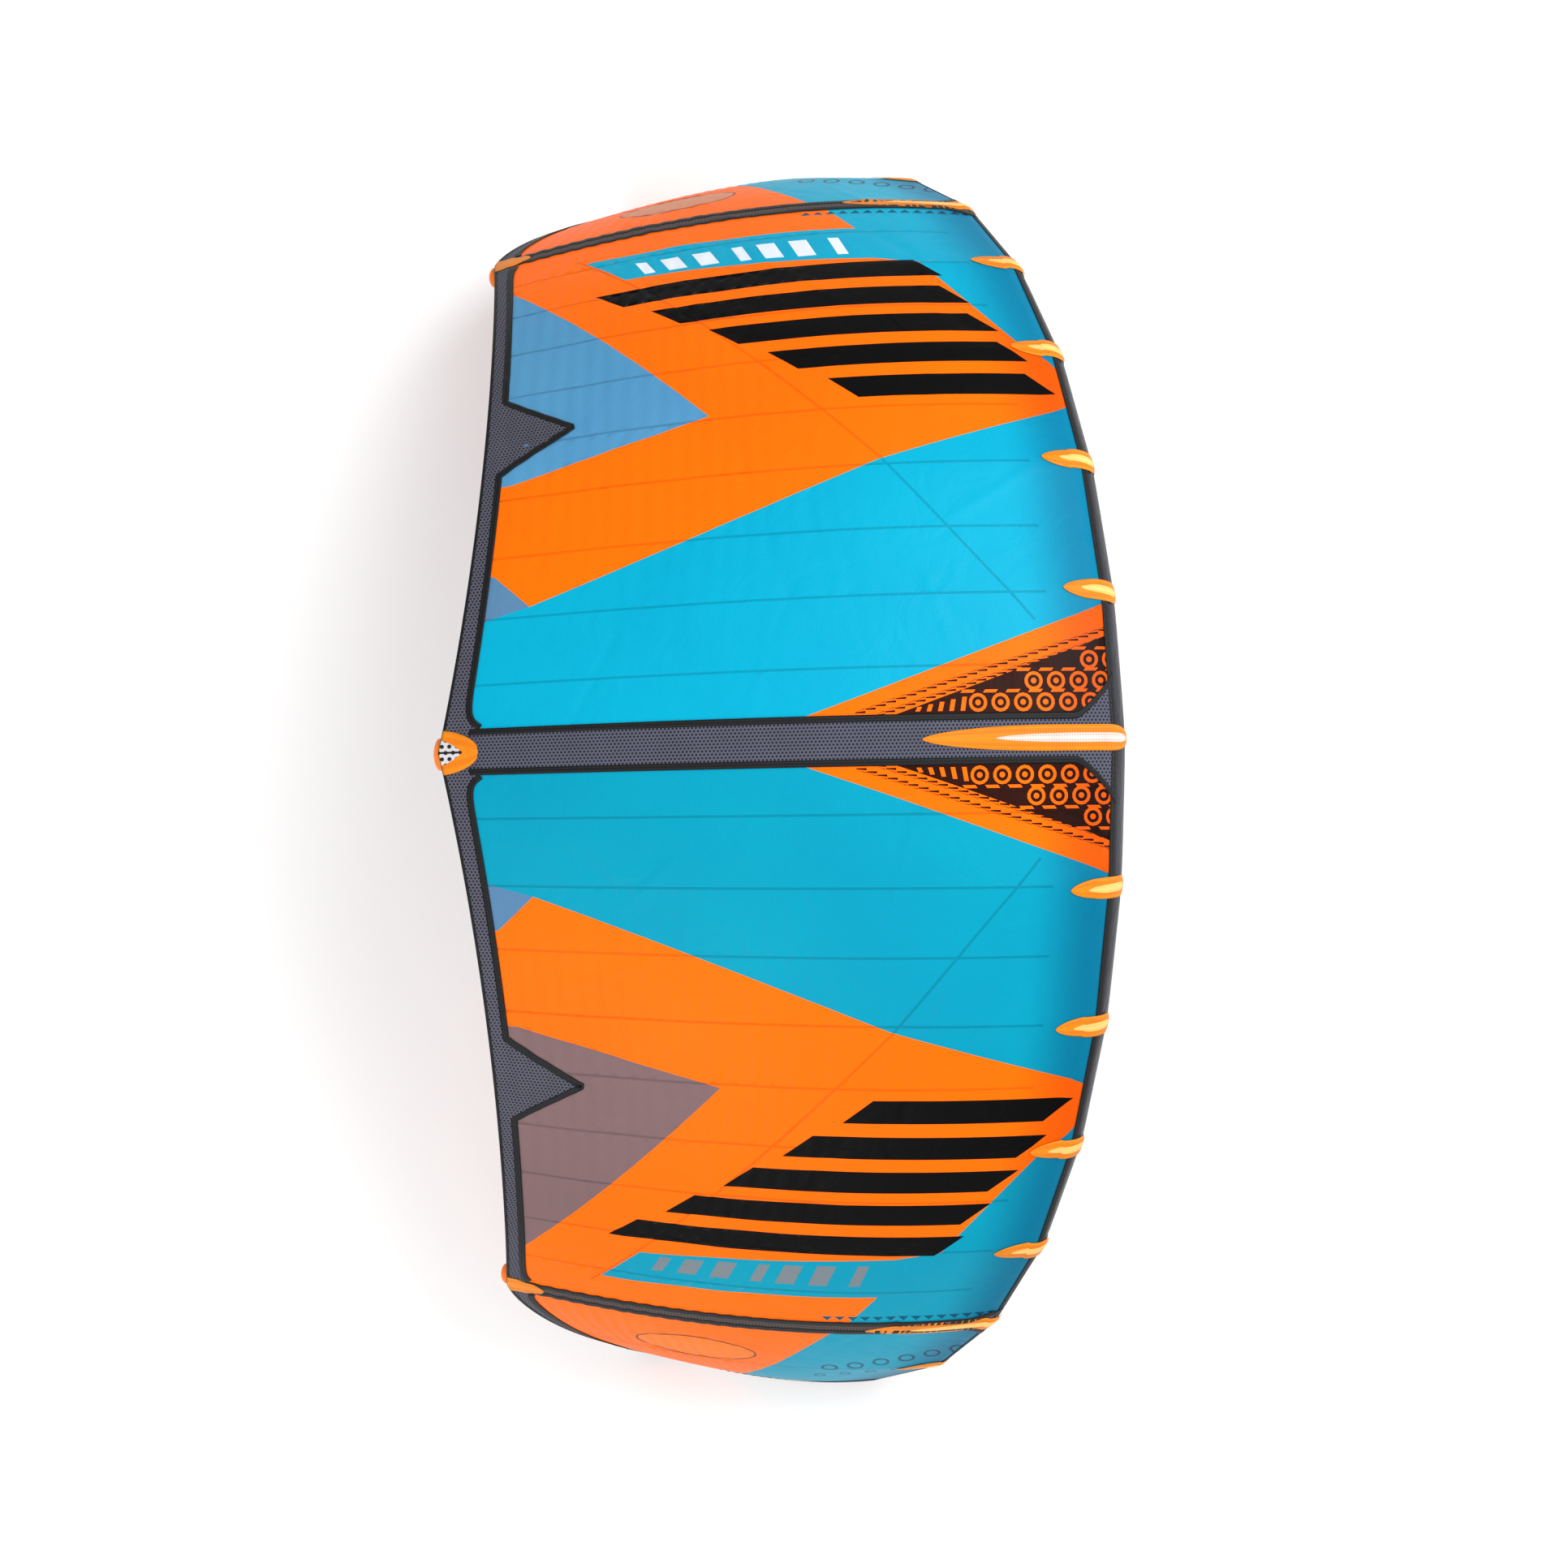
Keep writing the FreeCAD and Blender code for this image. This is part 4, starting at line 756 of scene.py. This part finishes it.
centreBand = {"half": 0.066, "frontFlare": 0.105, "frontFade": 0.11, "start": -0.054, "rear": 0.075}
sideBand = {"half": 0.028, "frontFlare": 0.04, "frontFade": 0.09, "start": -0.03, "rear": 0.055}
hemSizes = {"width": 0.046, "extra": 0.016, "wedgePlace": 0.955, "wedgeHalf": 0.128,
            "wedgeLength": 0.20, "flare": 0.05, "sideFlare": 0.025, "flareFade": 0.022,
            "centreGap": 0.062, "sideGap": 0.026, "extraFade": 0.5}
reachAll = np.unique(np.concatenate([lineAcross(-halfSpan, halfSpan, 331), [
    side * (hemSizes["wedgePlace"] + step * hemSizes["wedgeHalf"])
    for side in (-1, 1) for step in lineAcross(-1, 1, 21)]]))


def hemInset(s):                      # how far the hem reaches in from the trailing edge
    reach = np.abs(s)
    inset = hemSizes["width"] + hemSizes["extra"] * np.exp(-reach / hemSizes["extraFade"])
    rise = 1 - np.abs(reach - hemSizes["wedgePlace"]) / hemSizes["wedgeHalf"]
    inset = inset + hemSizes["wedgeLength"] * np.clip(rise, 0, 1) ** 1.1
    for place, band, flare in ((0.0, centreBand, "flare"), (form["strutPlace"], sideBand, "sideFlare")):
        near = np.clip(np.abs(reach - place) - band["half"], 0, None)
        inset = inset + hemSizes[flare] * np.exp(-near / hemSizes["flareFade"])
    return inset


hem = Sewn()
hemRows = 17
hemDepth = lineAcross(0, 1, hemRows)
hemDistance = hemInset(reachAll)[:, None] * hemDepth
reachGrid = downRows(reachAll, hemRows)
hem.grid(reachGrid, hemShare(reachGrid, hemDistance), trim["lift"], hemDistance, reachGrid)
hemPiece = hem.build("trailingEdgeHem", hemMesh, "hem_mesh")
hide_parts("trailing_edge_tape_left", "trailing_edge_tape_right", "hem_wedge_patches")

binding = Sewn()
bandClear = ((np.abs(reachAll) > hemSizes["centreGap"])
             & (abs(np.abs(reachAll) - form["strutPlace"]) > hemSizes["sideGap"]))
for run in np.split(np.arange(len(reachAll)), np.flatnonzero(np.diff(bandClear)) + 1):
    if bandClear[run[0]]:             # the bands cover the hem's inner binding
        s = reachAll[run]
        binding.strip(s, hemShare(s, hemInset(s)), trim["binding"], trim["patchLift"])
binding.strip(reachAll, hemShare(reachAll, 0.004), 0.008, trim["patchLift"])
tipShares = lineAcross(0.01, 0.985, 60)
for side in (-1, 1):
    edge = np.full(len(tipShares), side * (halfSpan - trim["tipTape"] / 2))
    binding.strip(edge, tipShares, trim["tipTape"], trim["lift"])
tapeLine = lineAcross(-1, 1, 5)       # points across a tape
frontTape = {"width": 0.020, "columns": 481, "front": -1.06}
frontS = lineAcross(-halfSpan, halfSpan, frontTape["columns"])
frontWidth = frontTape["width"] / wrapLength(np.abs(frontS))
frontShare = frontTape["front"] + frontWidth[:, None] * lineAcross(0, 1, 5)
binding.grid(downRows(frontS, 5), frontShare, trim["lift"], downRows(frontS, 5),
             acrossRows(tapeLine, len(frontS)))

def bandHalf(band, distance):
    ramp = np.clip((band["start"] + band["frontFade"] - distance) / band["frontFade"], 0, 1)
    return band["half"] + band["frontFlare"] * ramp**1.3


def bandShares(place, distance):
    reach = abs(place)
    shares = np.where(distance < 0, distance / wrapLength(reach), distance / canopyLength(reach))
    return np.clip(shares, -2.4, 1)


def bandSheet(place, band, gather):
    length = float(canopyLength(abs(place)))
    distance = np.concatenate([lineAcross(band["start"], 0.1, 14), lineAcross(0.11, length - 0.2, 70),
                               lineAcross(length - 0.19, length - band["rear"], 22)])
    half = bandHalf(band, distance)
    across = lineAcross(-1, 1, 17)
    shares = bandShares(place, distance)
    gather.grid(place + half[:, None] * across, downRows(shares, 17), trim["lift"],
                downRows(distance, 17), acrossRows(across, len(distance)))
    for side in (-1, 1):
        edge = place + side * (half - trim["binding"] / 2)
        offset = lineAcross(-0.5, 0.5, 5) * trim["binding"]
        binding.grid(edge[:, None] + offset, downRows(shares, 5), trim["patchLift"],
                     downRows(distance, 5), acrossRows(tapeLine, len(distance)))


centre = Sewn()
bandSheet(0.0, centreBand, centre)
centrePiece = centre.build("centreStrutBand", bandMesh, "band_mesh")
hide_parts("centre_strut_band")
sides = Sewn()
for side in (-1, 1):
    bandSheet(side * form["strutPlace"], sideBand, sides)
sidePiece = sides.build("sideStrutBands", sideMesh, "band_mesh")
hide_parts("side_strut_bands")

# The last four sizes are for the painted highlights laid on the patches.
teardrops = {"width": 0.056, "centreWidth": 0.068, "length": 0.165, "longLength": 0.57,
             "strutLength": 0.40, "noseTurn": 62, "tailSlant": 0.012,
             "highlightLength": 0.66, "highlightInset": 0.017, "centreHighlightLength": 0.64, "centreHighlightInset": 0.022}
patchStitch = 0.8                     # puts a patch's stitches near its edge
# The cream and pale layers are painted highlights where the glossy patches curve over the tubes.
orangeLayer, creamHighlightLayer, paleHighlightLayer = Sewn(), Sewn(), Sewn()


def teardrop(place, length, gather, inset, lift):
    reach = abs(place)
    wide = teardrops["width" if place else "centreWidth"]
    nose = -float(tubeRadius(reach)) * math.radians(teardrops["noseTurn"]) + inset * 0.5
    tail = nose + length
    count = 34
    part = (1 - np.cos(np.pi * lineAcross(0, 1, count))) / 2
    tailward = np.clip((1 - part) / 0.62, 0, 1)
    noseward = np.clip(part / 0.12, 0, 1)
    half = np.sqrt(1 - (1 - tailward) ** 2) ** 1.2 * np.sqrt(1 - (1 - noseward) ** 2 * 0.9)
    half = np.clip(half, 0.03, 1) * (wide / 2 - inset)
    distance = nose + (tail - nose) * part
    across = lineAcross(-1, 1, 9)
    slant = teardrops["tailSlant"] * part * np.sign(place)
    s = place + slant[:, None] + half[:, None] * across
    s = np.clip(s, -halfSpan, halfSpan)
    gather.grid(s, downRows(bandShares(place, distance), 9), lift, downRows(distance, 9),
                acrossRows(across * patchStitch, count))


patchPlaces = [(0.0, teardrops["longLength"])]
for side in (-1, 1):
    for k in range(1, panels):
        strutted = k == form["innerPanels"]
        patchPlaces.append((side * joints[k], teardrops["strutLength" if strutted else "length"]))
for place, length in patchPlaces:
    teardrop(place, length, orangeLayer, 0.0, trim["patchLift"])
    # Each patch gets a smaller painted highlight on top: cream on the joints, pale on the centre patch.
    if place:
        teardrop(place, length * teardrops["highlightLength"], creamHighlightLayer, teardrops["highlightInset"],
                 trim["patchLift"] + trim["layer"])
    else:
        teardrop(place, length * teardrops["centreHighlightLength"], paleHighlightLayer, teardrops["centreHighlightInset"],
                 trim["patchLift"] + trim["layer"])

endPatch = {"half": 0.064, "length": 0.108, "sideHalf": 0.034, "meshHalf": 0.036, "meshLength": 0.066}
capLayer = Sewn()
for place, half in ((0.0, endPatch["half"]), (-form["strutPlace"], endPatch["sideHalf"]),
                    (form["strutPlace"], endPatch["sideHalf"])):
    for gather, wide, deep, bow, lift in (
            (orangeLayer, half, endPatch["length"], 0.5, trim["layer"]),
            (capLayer, endPatch["meshHalf"], endPatch["meshLength"], 1.0, 2 * trim["layer"])):
        if place and gather is capLayer:
            continue
        depth = lineAcross(0, 1, 18)
        width = wide * np.clip(1 - depth**1.4, 0.002, 1) ** bow
        across = lineAcross(-1, 1, 13)
        s = place + width[:, None] * across
        distance = 0.002 + deep * depth
        gather.grid(s, hemShare(s, distance[:, None]), trim["patchLift"] + lift,
                    downRows(distance, 13), acrossRows(across * patchStitch, len(depth)))
middleLine = lineAcross(0.004, 0.064, 20)          # a narrow tape down the middle end patch
binding.strip(np.full(20, 1e-4), hemShare(np.full(20, 0.0), middleLine), 0.005,
              trim["patchLift"] + 0.0030)

bindingPiece = binding.build("bindingTapes", blackTape, "webbing")
orangePiece = orangeLayer.build("jointPatches", orangeTape, "patch_orange")
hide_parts("joint_patches", "strut_end_patches")
# Painted highlights on the patches.
creamHighlightPiece = creamHighlightLayer.build("jointPatchHighlights", creamHighlightFinish, "patch_orange")
paleHighlightPiece = paleHighlightLayer.build("centrePatchHighlight", paleHighlightFinish, "patch_orange")
capPiece = capLayer.build("strutEndMesh", capMesh, "hem_mesh")

print("trims sewn")


# Leading-edge sleeve: cloth tube with a mitred seam at each joint.

sleeve = {"sides": 56, "stations": 9, "pinch": 0.0016, "pucker": 0.0009, "dome": 0.62,
          "seamBand": 0.014, "seamLift": 0.0009}
around = np.linspace(0, 2 * math.pi, sleeve["sides"], endpoint=False)


def sleeveRing(k, part, lift):        # part of the way from joint k to the next
    rings = []
    for j in (k, k + 1):
        radius = float(tubeRadius(joints[j]))
        rings.append(jointCentres[j] + (radius + lift) * (
            jointUps[j] * np.cos(around)[:, None] + jointAfts[j] * np.sin(around)[:, None]))
    return rings[0] + (rings[1] - rings[0]) * part


def sleeveSide(side, label):
    points = []
    for k in range(panels):
        for part in np.linspace(0, 1, sleeve["stations"]):
            if part == 1 and k < panels - 1:
                continue
            near = min(part, 1 - part)
            lift = -sleeve["pinch"] * math.exp(-near * 14)
            pucker = sleeve["pucker"] * math.exp(-near * 9) * np.sin(around * 14 + k)
            under = smooth((np.abs(around - math.pi) < 2.1).astype(float))
            points.append(sleeveRing(k, part, 0) + (lift + pucker * under)[:, None]
                          * (jointUps[k] * np.cos(around)[:, None]
                             + jointAfts[k] * np.sin(around)[:, None]))
    tipRadius = float(tubeRadius(halfSpan))
    for turn in (15, 30, 45, 60, 72, 82, 89):
        reach = tipRadius * sleeve["dome"] * math.sin(math.radians(turn))
        narrow = tipRadius * math.cos(math.radians(turn))
        points.append(jointCentres[-1] + jointWays[-1] * reach + narrow * (
            jointUps[-1] * np.cos(around)[:, None] + jointAfts[-1] * np.sin(around)[:, None]))
    count = len(points)
    places = np.concatenate(points)
    places[:, 0] *= side
    meshFaces = gridFaces(count, sleeve["sides"], True)
    last = (count - 1) * sleeve["sides"]
    meshFaces.append(tuple(last + j for j in range(sleeve["sides"])))
    if side > 0:
        meshFaces = [f[::-1] for f in meshFaces]
    piece = meshPiece("leadingEdgeSleeve" + label, stand(places), meshFaces, sleeveCloth)
    low = label.lower()
    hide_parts(*["le_sleeve_%s_%d" % (low, k + 1) for k in range(panels)],
                "le_tip_cap_%s" % low, "le_bladder")
    return piece


for side, label in ((1, "Right"), (-1, "Left")):
    sleeveSide(side, label)

seamPoints, seamFaces, seamStrip = [], [], []
for side in (1, -1):
    for k in range(1, panels):
        segment = min(k, panels - 1)
        length = float(np.linalg.norm(jointCentres[segment + 1] - jointCentres[segment]))
        before = float(np.linalg.norm(jointCentres[k] - jointCentres[k - 1]))
        rings = [sleeveRing(k - 1, 1 - sleeve["seamBand"] / before, sleeve["seamLift"]),
                 sleeveRing(k, 0, sleeve["seamLift"]),
                 sleeveRing(k, sleeve["seamBand"] / length, sleeve["seamLift"])]
        start = len(seamPoints) * sleeve["sides"]
        for across, ring in zip((-1, 0, 1), rings):
            seamPoints.append(ring * np.array([side, 1, 1]))
            seamStrip.append(np.stack([around * 0.09, 0 * around + across, 0 * around], -1))
        for face in gridFaces(3, sleeve["sides"], True):
            seamFaces.append([start + i for i in (face if side < 0 else face[::-1])])
sleeveSeams = meshPiece("sleeveSeams", stand(np.concatenate(seamPoints)), seamFaces, blackTape,
                        {"strip": np.concatenate(seamStrip)})
thicken(sleeveSeams, 0.0008)
print("sleeve ready")


# Struts: inflated cloth tubes under the canopy.

struts = {"Centre": 0, "Right": 1, "Left": -1}
strutSizes = {"front": 0.055, "rear": 0.044, "sideFront": 0.041, "sideRear": 0.029, "sides": 40,
              "stations": 46, "capDepth": 0.018, "capReach": 0.11, "swell": 0.0016}
strutAround = np.linspace(0, 2 * math.pi, strutSizes["sides"], endpoint=False)


def strutCentre(side, share):
    s = form["strutPlace"] * abs(side)
    front = strutSizes["sideFront" if side else "front"]
    back = strutSizes["sideRear" if side else "rear"]
    radius = front + (back - front) * share
    y = leadingY(s) + (trailingY(s) - leadingY(s)) * share
    first = leadingY(s) - tubeRadius(s) * math.sin(leave)
    height, slope = canopyHeight(s, (y - first) / (trailingY(s) - first))
    centre = ribPoint(np.float64(s), np.float64(y), height - radius * np.sqrt(1 + slope**2))
    centre[0] *= side or 1
    return centre, float(radius)


def strutRing(side, share, lift, factor=1.0, beyond=0.0):
    centre, radius = strutCentre(side, min(share, 1.0))
    reach = (radius + lift) * factor
    ring = np.zeros((strutSizes["sides"], 3))
    ring[:, 0] = centre[0] + reach * np.sin(strutAround)
    ring[:, 1] = centre[1] + beyond
    ring[:, 2] = centre[2] + reach * np.cos(strutAround)
    return ring


def strutPieces(label, side):
    rings = []
    for share in np.linspace(0.03, 1, strutSizes["stations"]):
        swell = strutSizes["swell"] * math.sin(share * 30) * 0.4 - 0.0012
        rings.append(strutRing(side, share, swell))
    for turn in (25, 50, 70, 85):
        rings.append(strutRing(side, 1, -0.001, math.cos(math.radians(turn)),
                               strutSizes["capDepth"] * math.sin(math.radians(turn))))
    count = len(rings)
    meshFaces = gridFaces(count, strutSizes["sides"], True)
    meshFaces = [f[::-1] for f in meshFaces]
    meshFaces.append(tuple((count - 1) * strutSizes["sides"] + j for j in range(strutSizes["sides"])))
    meshFaces.append(tuple(range(strutSizes["sides"]))[::-1])
    name = "strut" + label
    piece = meshPiece(name, stand(np.concatenate(rings)), meshFaces, strutCloth)
    low = label.lower()
    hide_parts("strut_sleeve_" + low, "strut_bladder_" + low)
    length = float(trailingY(form["strutPlace"] * abs(side)) - leadingY(form["strutPlace"] * abs(side)))
    first = 1 - strutSizes["capReach"] / length
    caps = [strutRing(side, share, 0.0003) for share in np.linspace(first, 1, 8)]
    for turn in (20, 40, 58, 74, 86):
        gathered = 1 + 0.02 * np.sin(strutAround * 10)[:, None] * (turn / 86)
        ring = strutRing(side, 1, 0.0006, math.cos(math.radians(turn)),
                         0.0012 + strutSizes["capDepth"] * math.sin(math.radians(turn)))
        caps.append(ring.mean(0) + (ring - ring.mean(0)) * gathered)
    capFaces = [f[::-1] for f in gridFaces(len(caps), strutSizes["sides"], True)]
    capFaces.append(tuple((len(caps) - 1) * strutSizes["sides"] + j
                          for j in range(strutSizes["sides"])))
    return meshPiece("strutCap" + label, stand(np.concatenate(caps)), capFaces, capCloth)


capPieces = [strutPieces(label, side) for label, side in struts.items()]
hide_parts("strut_end_caps")
print("struts ready")


# Sewn eyes: a strap folded round each line's loop, its two feet stitched down.

eyeLoop = {"radius": 0.0064, "stand": 0.014, "foot": 0.017, "width": 0.016, "thick": 0.0016,
           "neck": 240}


def eyeProfile():                     # across the strap's plane, and out from the cloth
    feet = [(eyeLoop["foot"], 0.0008), (0.012, 0.0009), (0.0075, 0.0012), (0.0045, 0.0024), (0.0029, 0.0052)]
    turn = np.radians(np.linspace(eyeLoop["neck"], 540 - eyeLoop["neck"] - 360, 26))
    rim = [(eyeLoop["radius"] * math.cos(a), eyeLoop["stand"] + eyeLoop["radius"] * math.sin(a))
           for a in turn]
    return np.array([(-u, v) for u, v in feet] + rim + feet[::-1])


profile = eyeProfile()
eyeAlong = np.concatenate([[0], np.cumsum(np.hypot(*np.diff(profile, axis=0).T))])
between = np.linspace(0, panels, 25 * panels + 1)
tubeLine = np.stack([np.interp(between, range(panels + 1), jointCentres[:, i]) for i in range(3)], -1)
tubeLine = stand(np.concatenate([tubeLine * np.array([side, 1, 1]) for side in (-1, 1)]))
tipCorner = skin(np.repeat([-halfSpan, halfSpan], 60), np.tile(np.linspace(0, 1, 60), 2))
loopPoints, loopFaces, loopStrip = [], [], []
for mount in frame["record"]["mounts"]:
    if "_eye" not in mount["name"]:
        continue
    spot = np.array(mount["pos_m"])
    axis = unit(np.array(mount["axis"]))
    anchors = tipCorner if mount["name"].startswith("tip") else tubeLine
    outward = spot - anchors[np.argmin(np.linalg.norm(anchors - spot, axis=1))]
    outward = unit(outward - axis * np.dot(outward, axis))
    sideways = np.cross(axis, outward)
    start = len(loopPoints) * len(profile) * 5
    path = spot + profile[:, :1] * sideways + (profile[:, 1:] - eyeLoop["stand"]) * outward
    across = np.linspace(-1, 1, 5)
    loopPoints.append((path[:, None] + (across * eyeLoop["width"] / 2)[None, :, None] * axis).reshape(-1, 3))
    loopStrip.append(np.stack([np.repeat(eyeAlong, 5), np.tile(across, len(profile)),
                               np.zeros(len(profile) * 5)], -1))
    loopFaces += [[start + i for i in face] for face in gridFaces(len(profile), 5)]
eyeLoops = meshPiece("sewnEyeLoops", np.concatenate(loopPoints), loopFaces, blackTape,
                     {"strip": np.concatenate(loopStrip)})
thicken(eyeLoops, eyeLoop["thick"], 0.0)
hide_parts("bridle_eyes", "tip_line_eyes", "pump_leash_eye")
print("eyes sewn on")


# Hardware from the frame, with its own finishes.

blackPlastic = solidFinish("blackPlastic", (22, 23, 26), 0.42, wear=0.4, coat=0.1)
orangePlastic = solidFinish("orangePlastic", (240, 96, 14), 0.38, wear=0.3, coat=0.15)
hoseRubber = solidFinish("hoseRubber", (196, 206, 212), 0.3, grain=0.00004, wear=0.3, coat=0.3)
hardware = {
    "valve_bases": blackPlastic, "inflate_valve_body": blackPlastic,
    "inflate_valve_lid": orangePlastic, "dump_valve_plug": orangePlastic,
    "transfer_hoses": hoseRubber, "hose_fittings": blackPlastic, "hose_clip_frames": blackPlastic,
    "hose_clip_lever_left": orangePlastic, "hose_clip_lever_centre": orangePlastic,
    "hose_clip_lever_right": orangePlastic,
}
for name, finish in hardware.items():
    item = frame["nodes"][name]
    item.data.materials.clear()
    item.data.materials.append(finish)
    weld = item.modifiers.new("weld", "WELD")
    weld.merge_threshold = 0.00002
    if name == "transfer_hoses":
        rounding = item.modifiers.new("rounding", "SUBSURF")
        rounding.levels = rounding.render_levels = 2
    else:
        edge = item.modifiers.new("edge", "BEVEL")
        edge.width = 0.0004
        edge.segments = 2
        edge.limit_method = "ANGLE"


# Floor, light and camera.

def flatFinish(name, rgb):
    finish = newFinish(name, 0.9)
    finish[2].inputs["Base Color"].default_value = linear(rgb)
    return finish[0]


floorData = bpy.data.meshes.new("floor")
floorData.from_pydata([(-30, -30, 0), (30, -30, 0), (30, 30, 0), (-30, 30, 0)], [], [(0, 1, 2, 3)])
floorData.materials.append(flatFinish("paleFloor", (243, 243, 243)))
floor = bpy.data.objects.new("floor", floorData)
floor.location.z = -0.002
bpy.context.scene.collection.objects.link(floor)

studio = {"tint": (1, 0.99, 0.98, 1), "strength": 0.7}
world = bpy.data.worlds.new("studio")
bpy.context.scene.world = world
world.use_nodes = True
world.node_tree.nodes["Background"].inputs[0].default_value = studio["tint"]
world.node_tree.nodes["Background"].inputs[1].default_value = studio["strength"]

lamps = {
    "key": {"place": (2.5, -3.5, 6.5), "size": 4.0, "watts": 400},
    "fill": {"place": (-4.5, 2.5, 5.0), "size": 5.0, "watts": 240},
    "front": {"place": (0, -6.0, 2.2), "size": 3.5, "watts": 110},
}
for name, lamp in lamps.items():
    light = bpy.data.lights.new(name, "AREA")
    light.size = lamp["size"]
    light.energy = lamp["watts"]
    item = bpy.data.objects.new(name, light)
    item.location = lamp["place"]
    item.rotation_euler = (Vector((0, 0, 0.7)) - Vector(lamp["place"])).to_track_quat("-Z", "Y").to_euler()
    bpy.context.scene.collection.objects.link(item)

shot = {"lens": 72.65, "distance": 8.5, "aim": 0.8325, "lookAside": 4.19, "lookAlong": -1.71,
        "roll": 1.19, "shiftX": 0.0030, "shiftY": -0.0240}


def turned(angle, i, j):              # a turn from axis j towards axis i
    matrix = np.eye(3)
    c, s = math.cos(math.radians(angle)), math.sin(math.radians(angle))
    matrix[i, i] = matrix[j, j] = c
    matrix[i, j], matrix[j, i] = s, -s
    return matrix


viewMatrix = (turned(-shot["roll"], 0, 1) @ turned(shot["lookAlong"], 0, 2)
              @ turned(shot["lookAside"], 1, 2))
toKite = np.array([[0, 1, 0], [-1, 0, 0], [0, 0, 1]])
axes = leanMatrix @ toKite @ viewMatrix.T
place = viewMatrix.T @ np.array([0, 0, shot["distance"]])
spot = stand(toKite @ place + np.array([0, shot["aim"], 0]))
cameraData = bpy.data.cameras.new("camera")
cameraData.lens = shot["lens"]
cameraData.sensor_width = 36
cameraData.shift_x = shot["shiftX"]
cameraData.shift_y = shot["shiftY"]
cameraData.clip_end = 100
camera = bpy.data.objects.new("camera", cameraData)
matrix = Matrix([[*axes[i], spot[i]] for i in range(3)] + [[0, 0, 0, 1]])
camera.matrix_world = matrix
bpy.context.scene.collection.objects.link(camera)
bpy.context.scene.camera = camera
bpy.context.scene.view_settings.view_transform = "Standard"    # keeps the cloth's strong colours

bpy.context.view_layer.update()
print("kite ready")
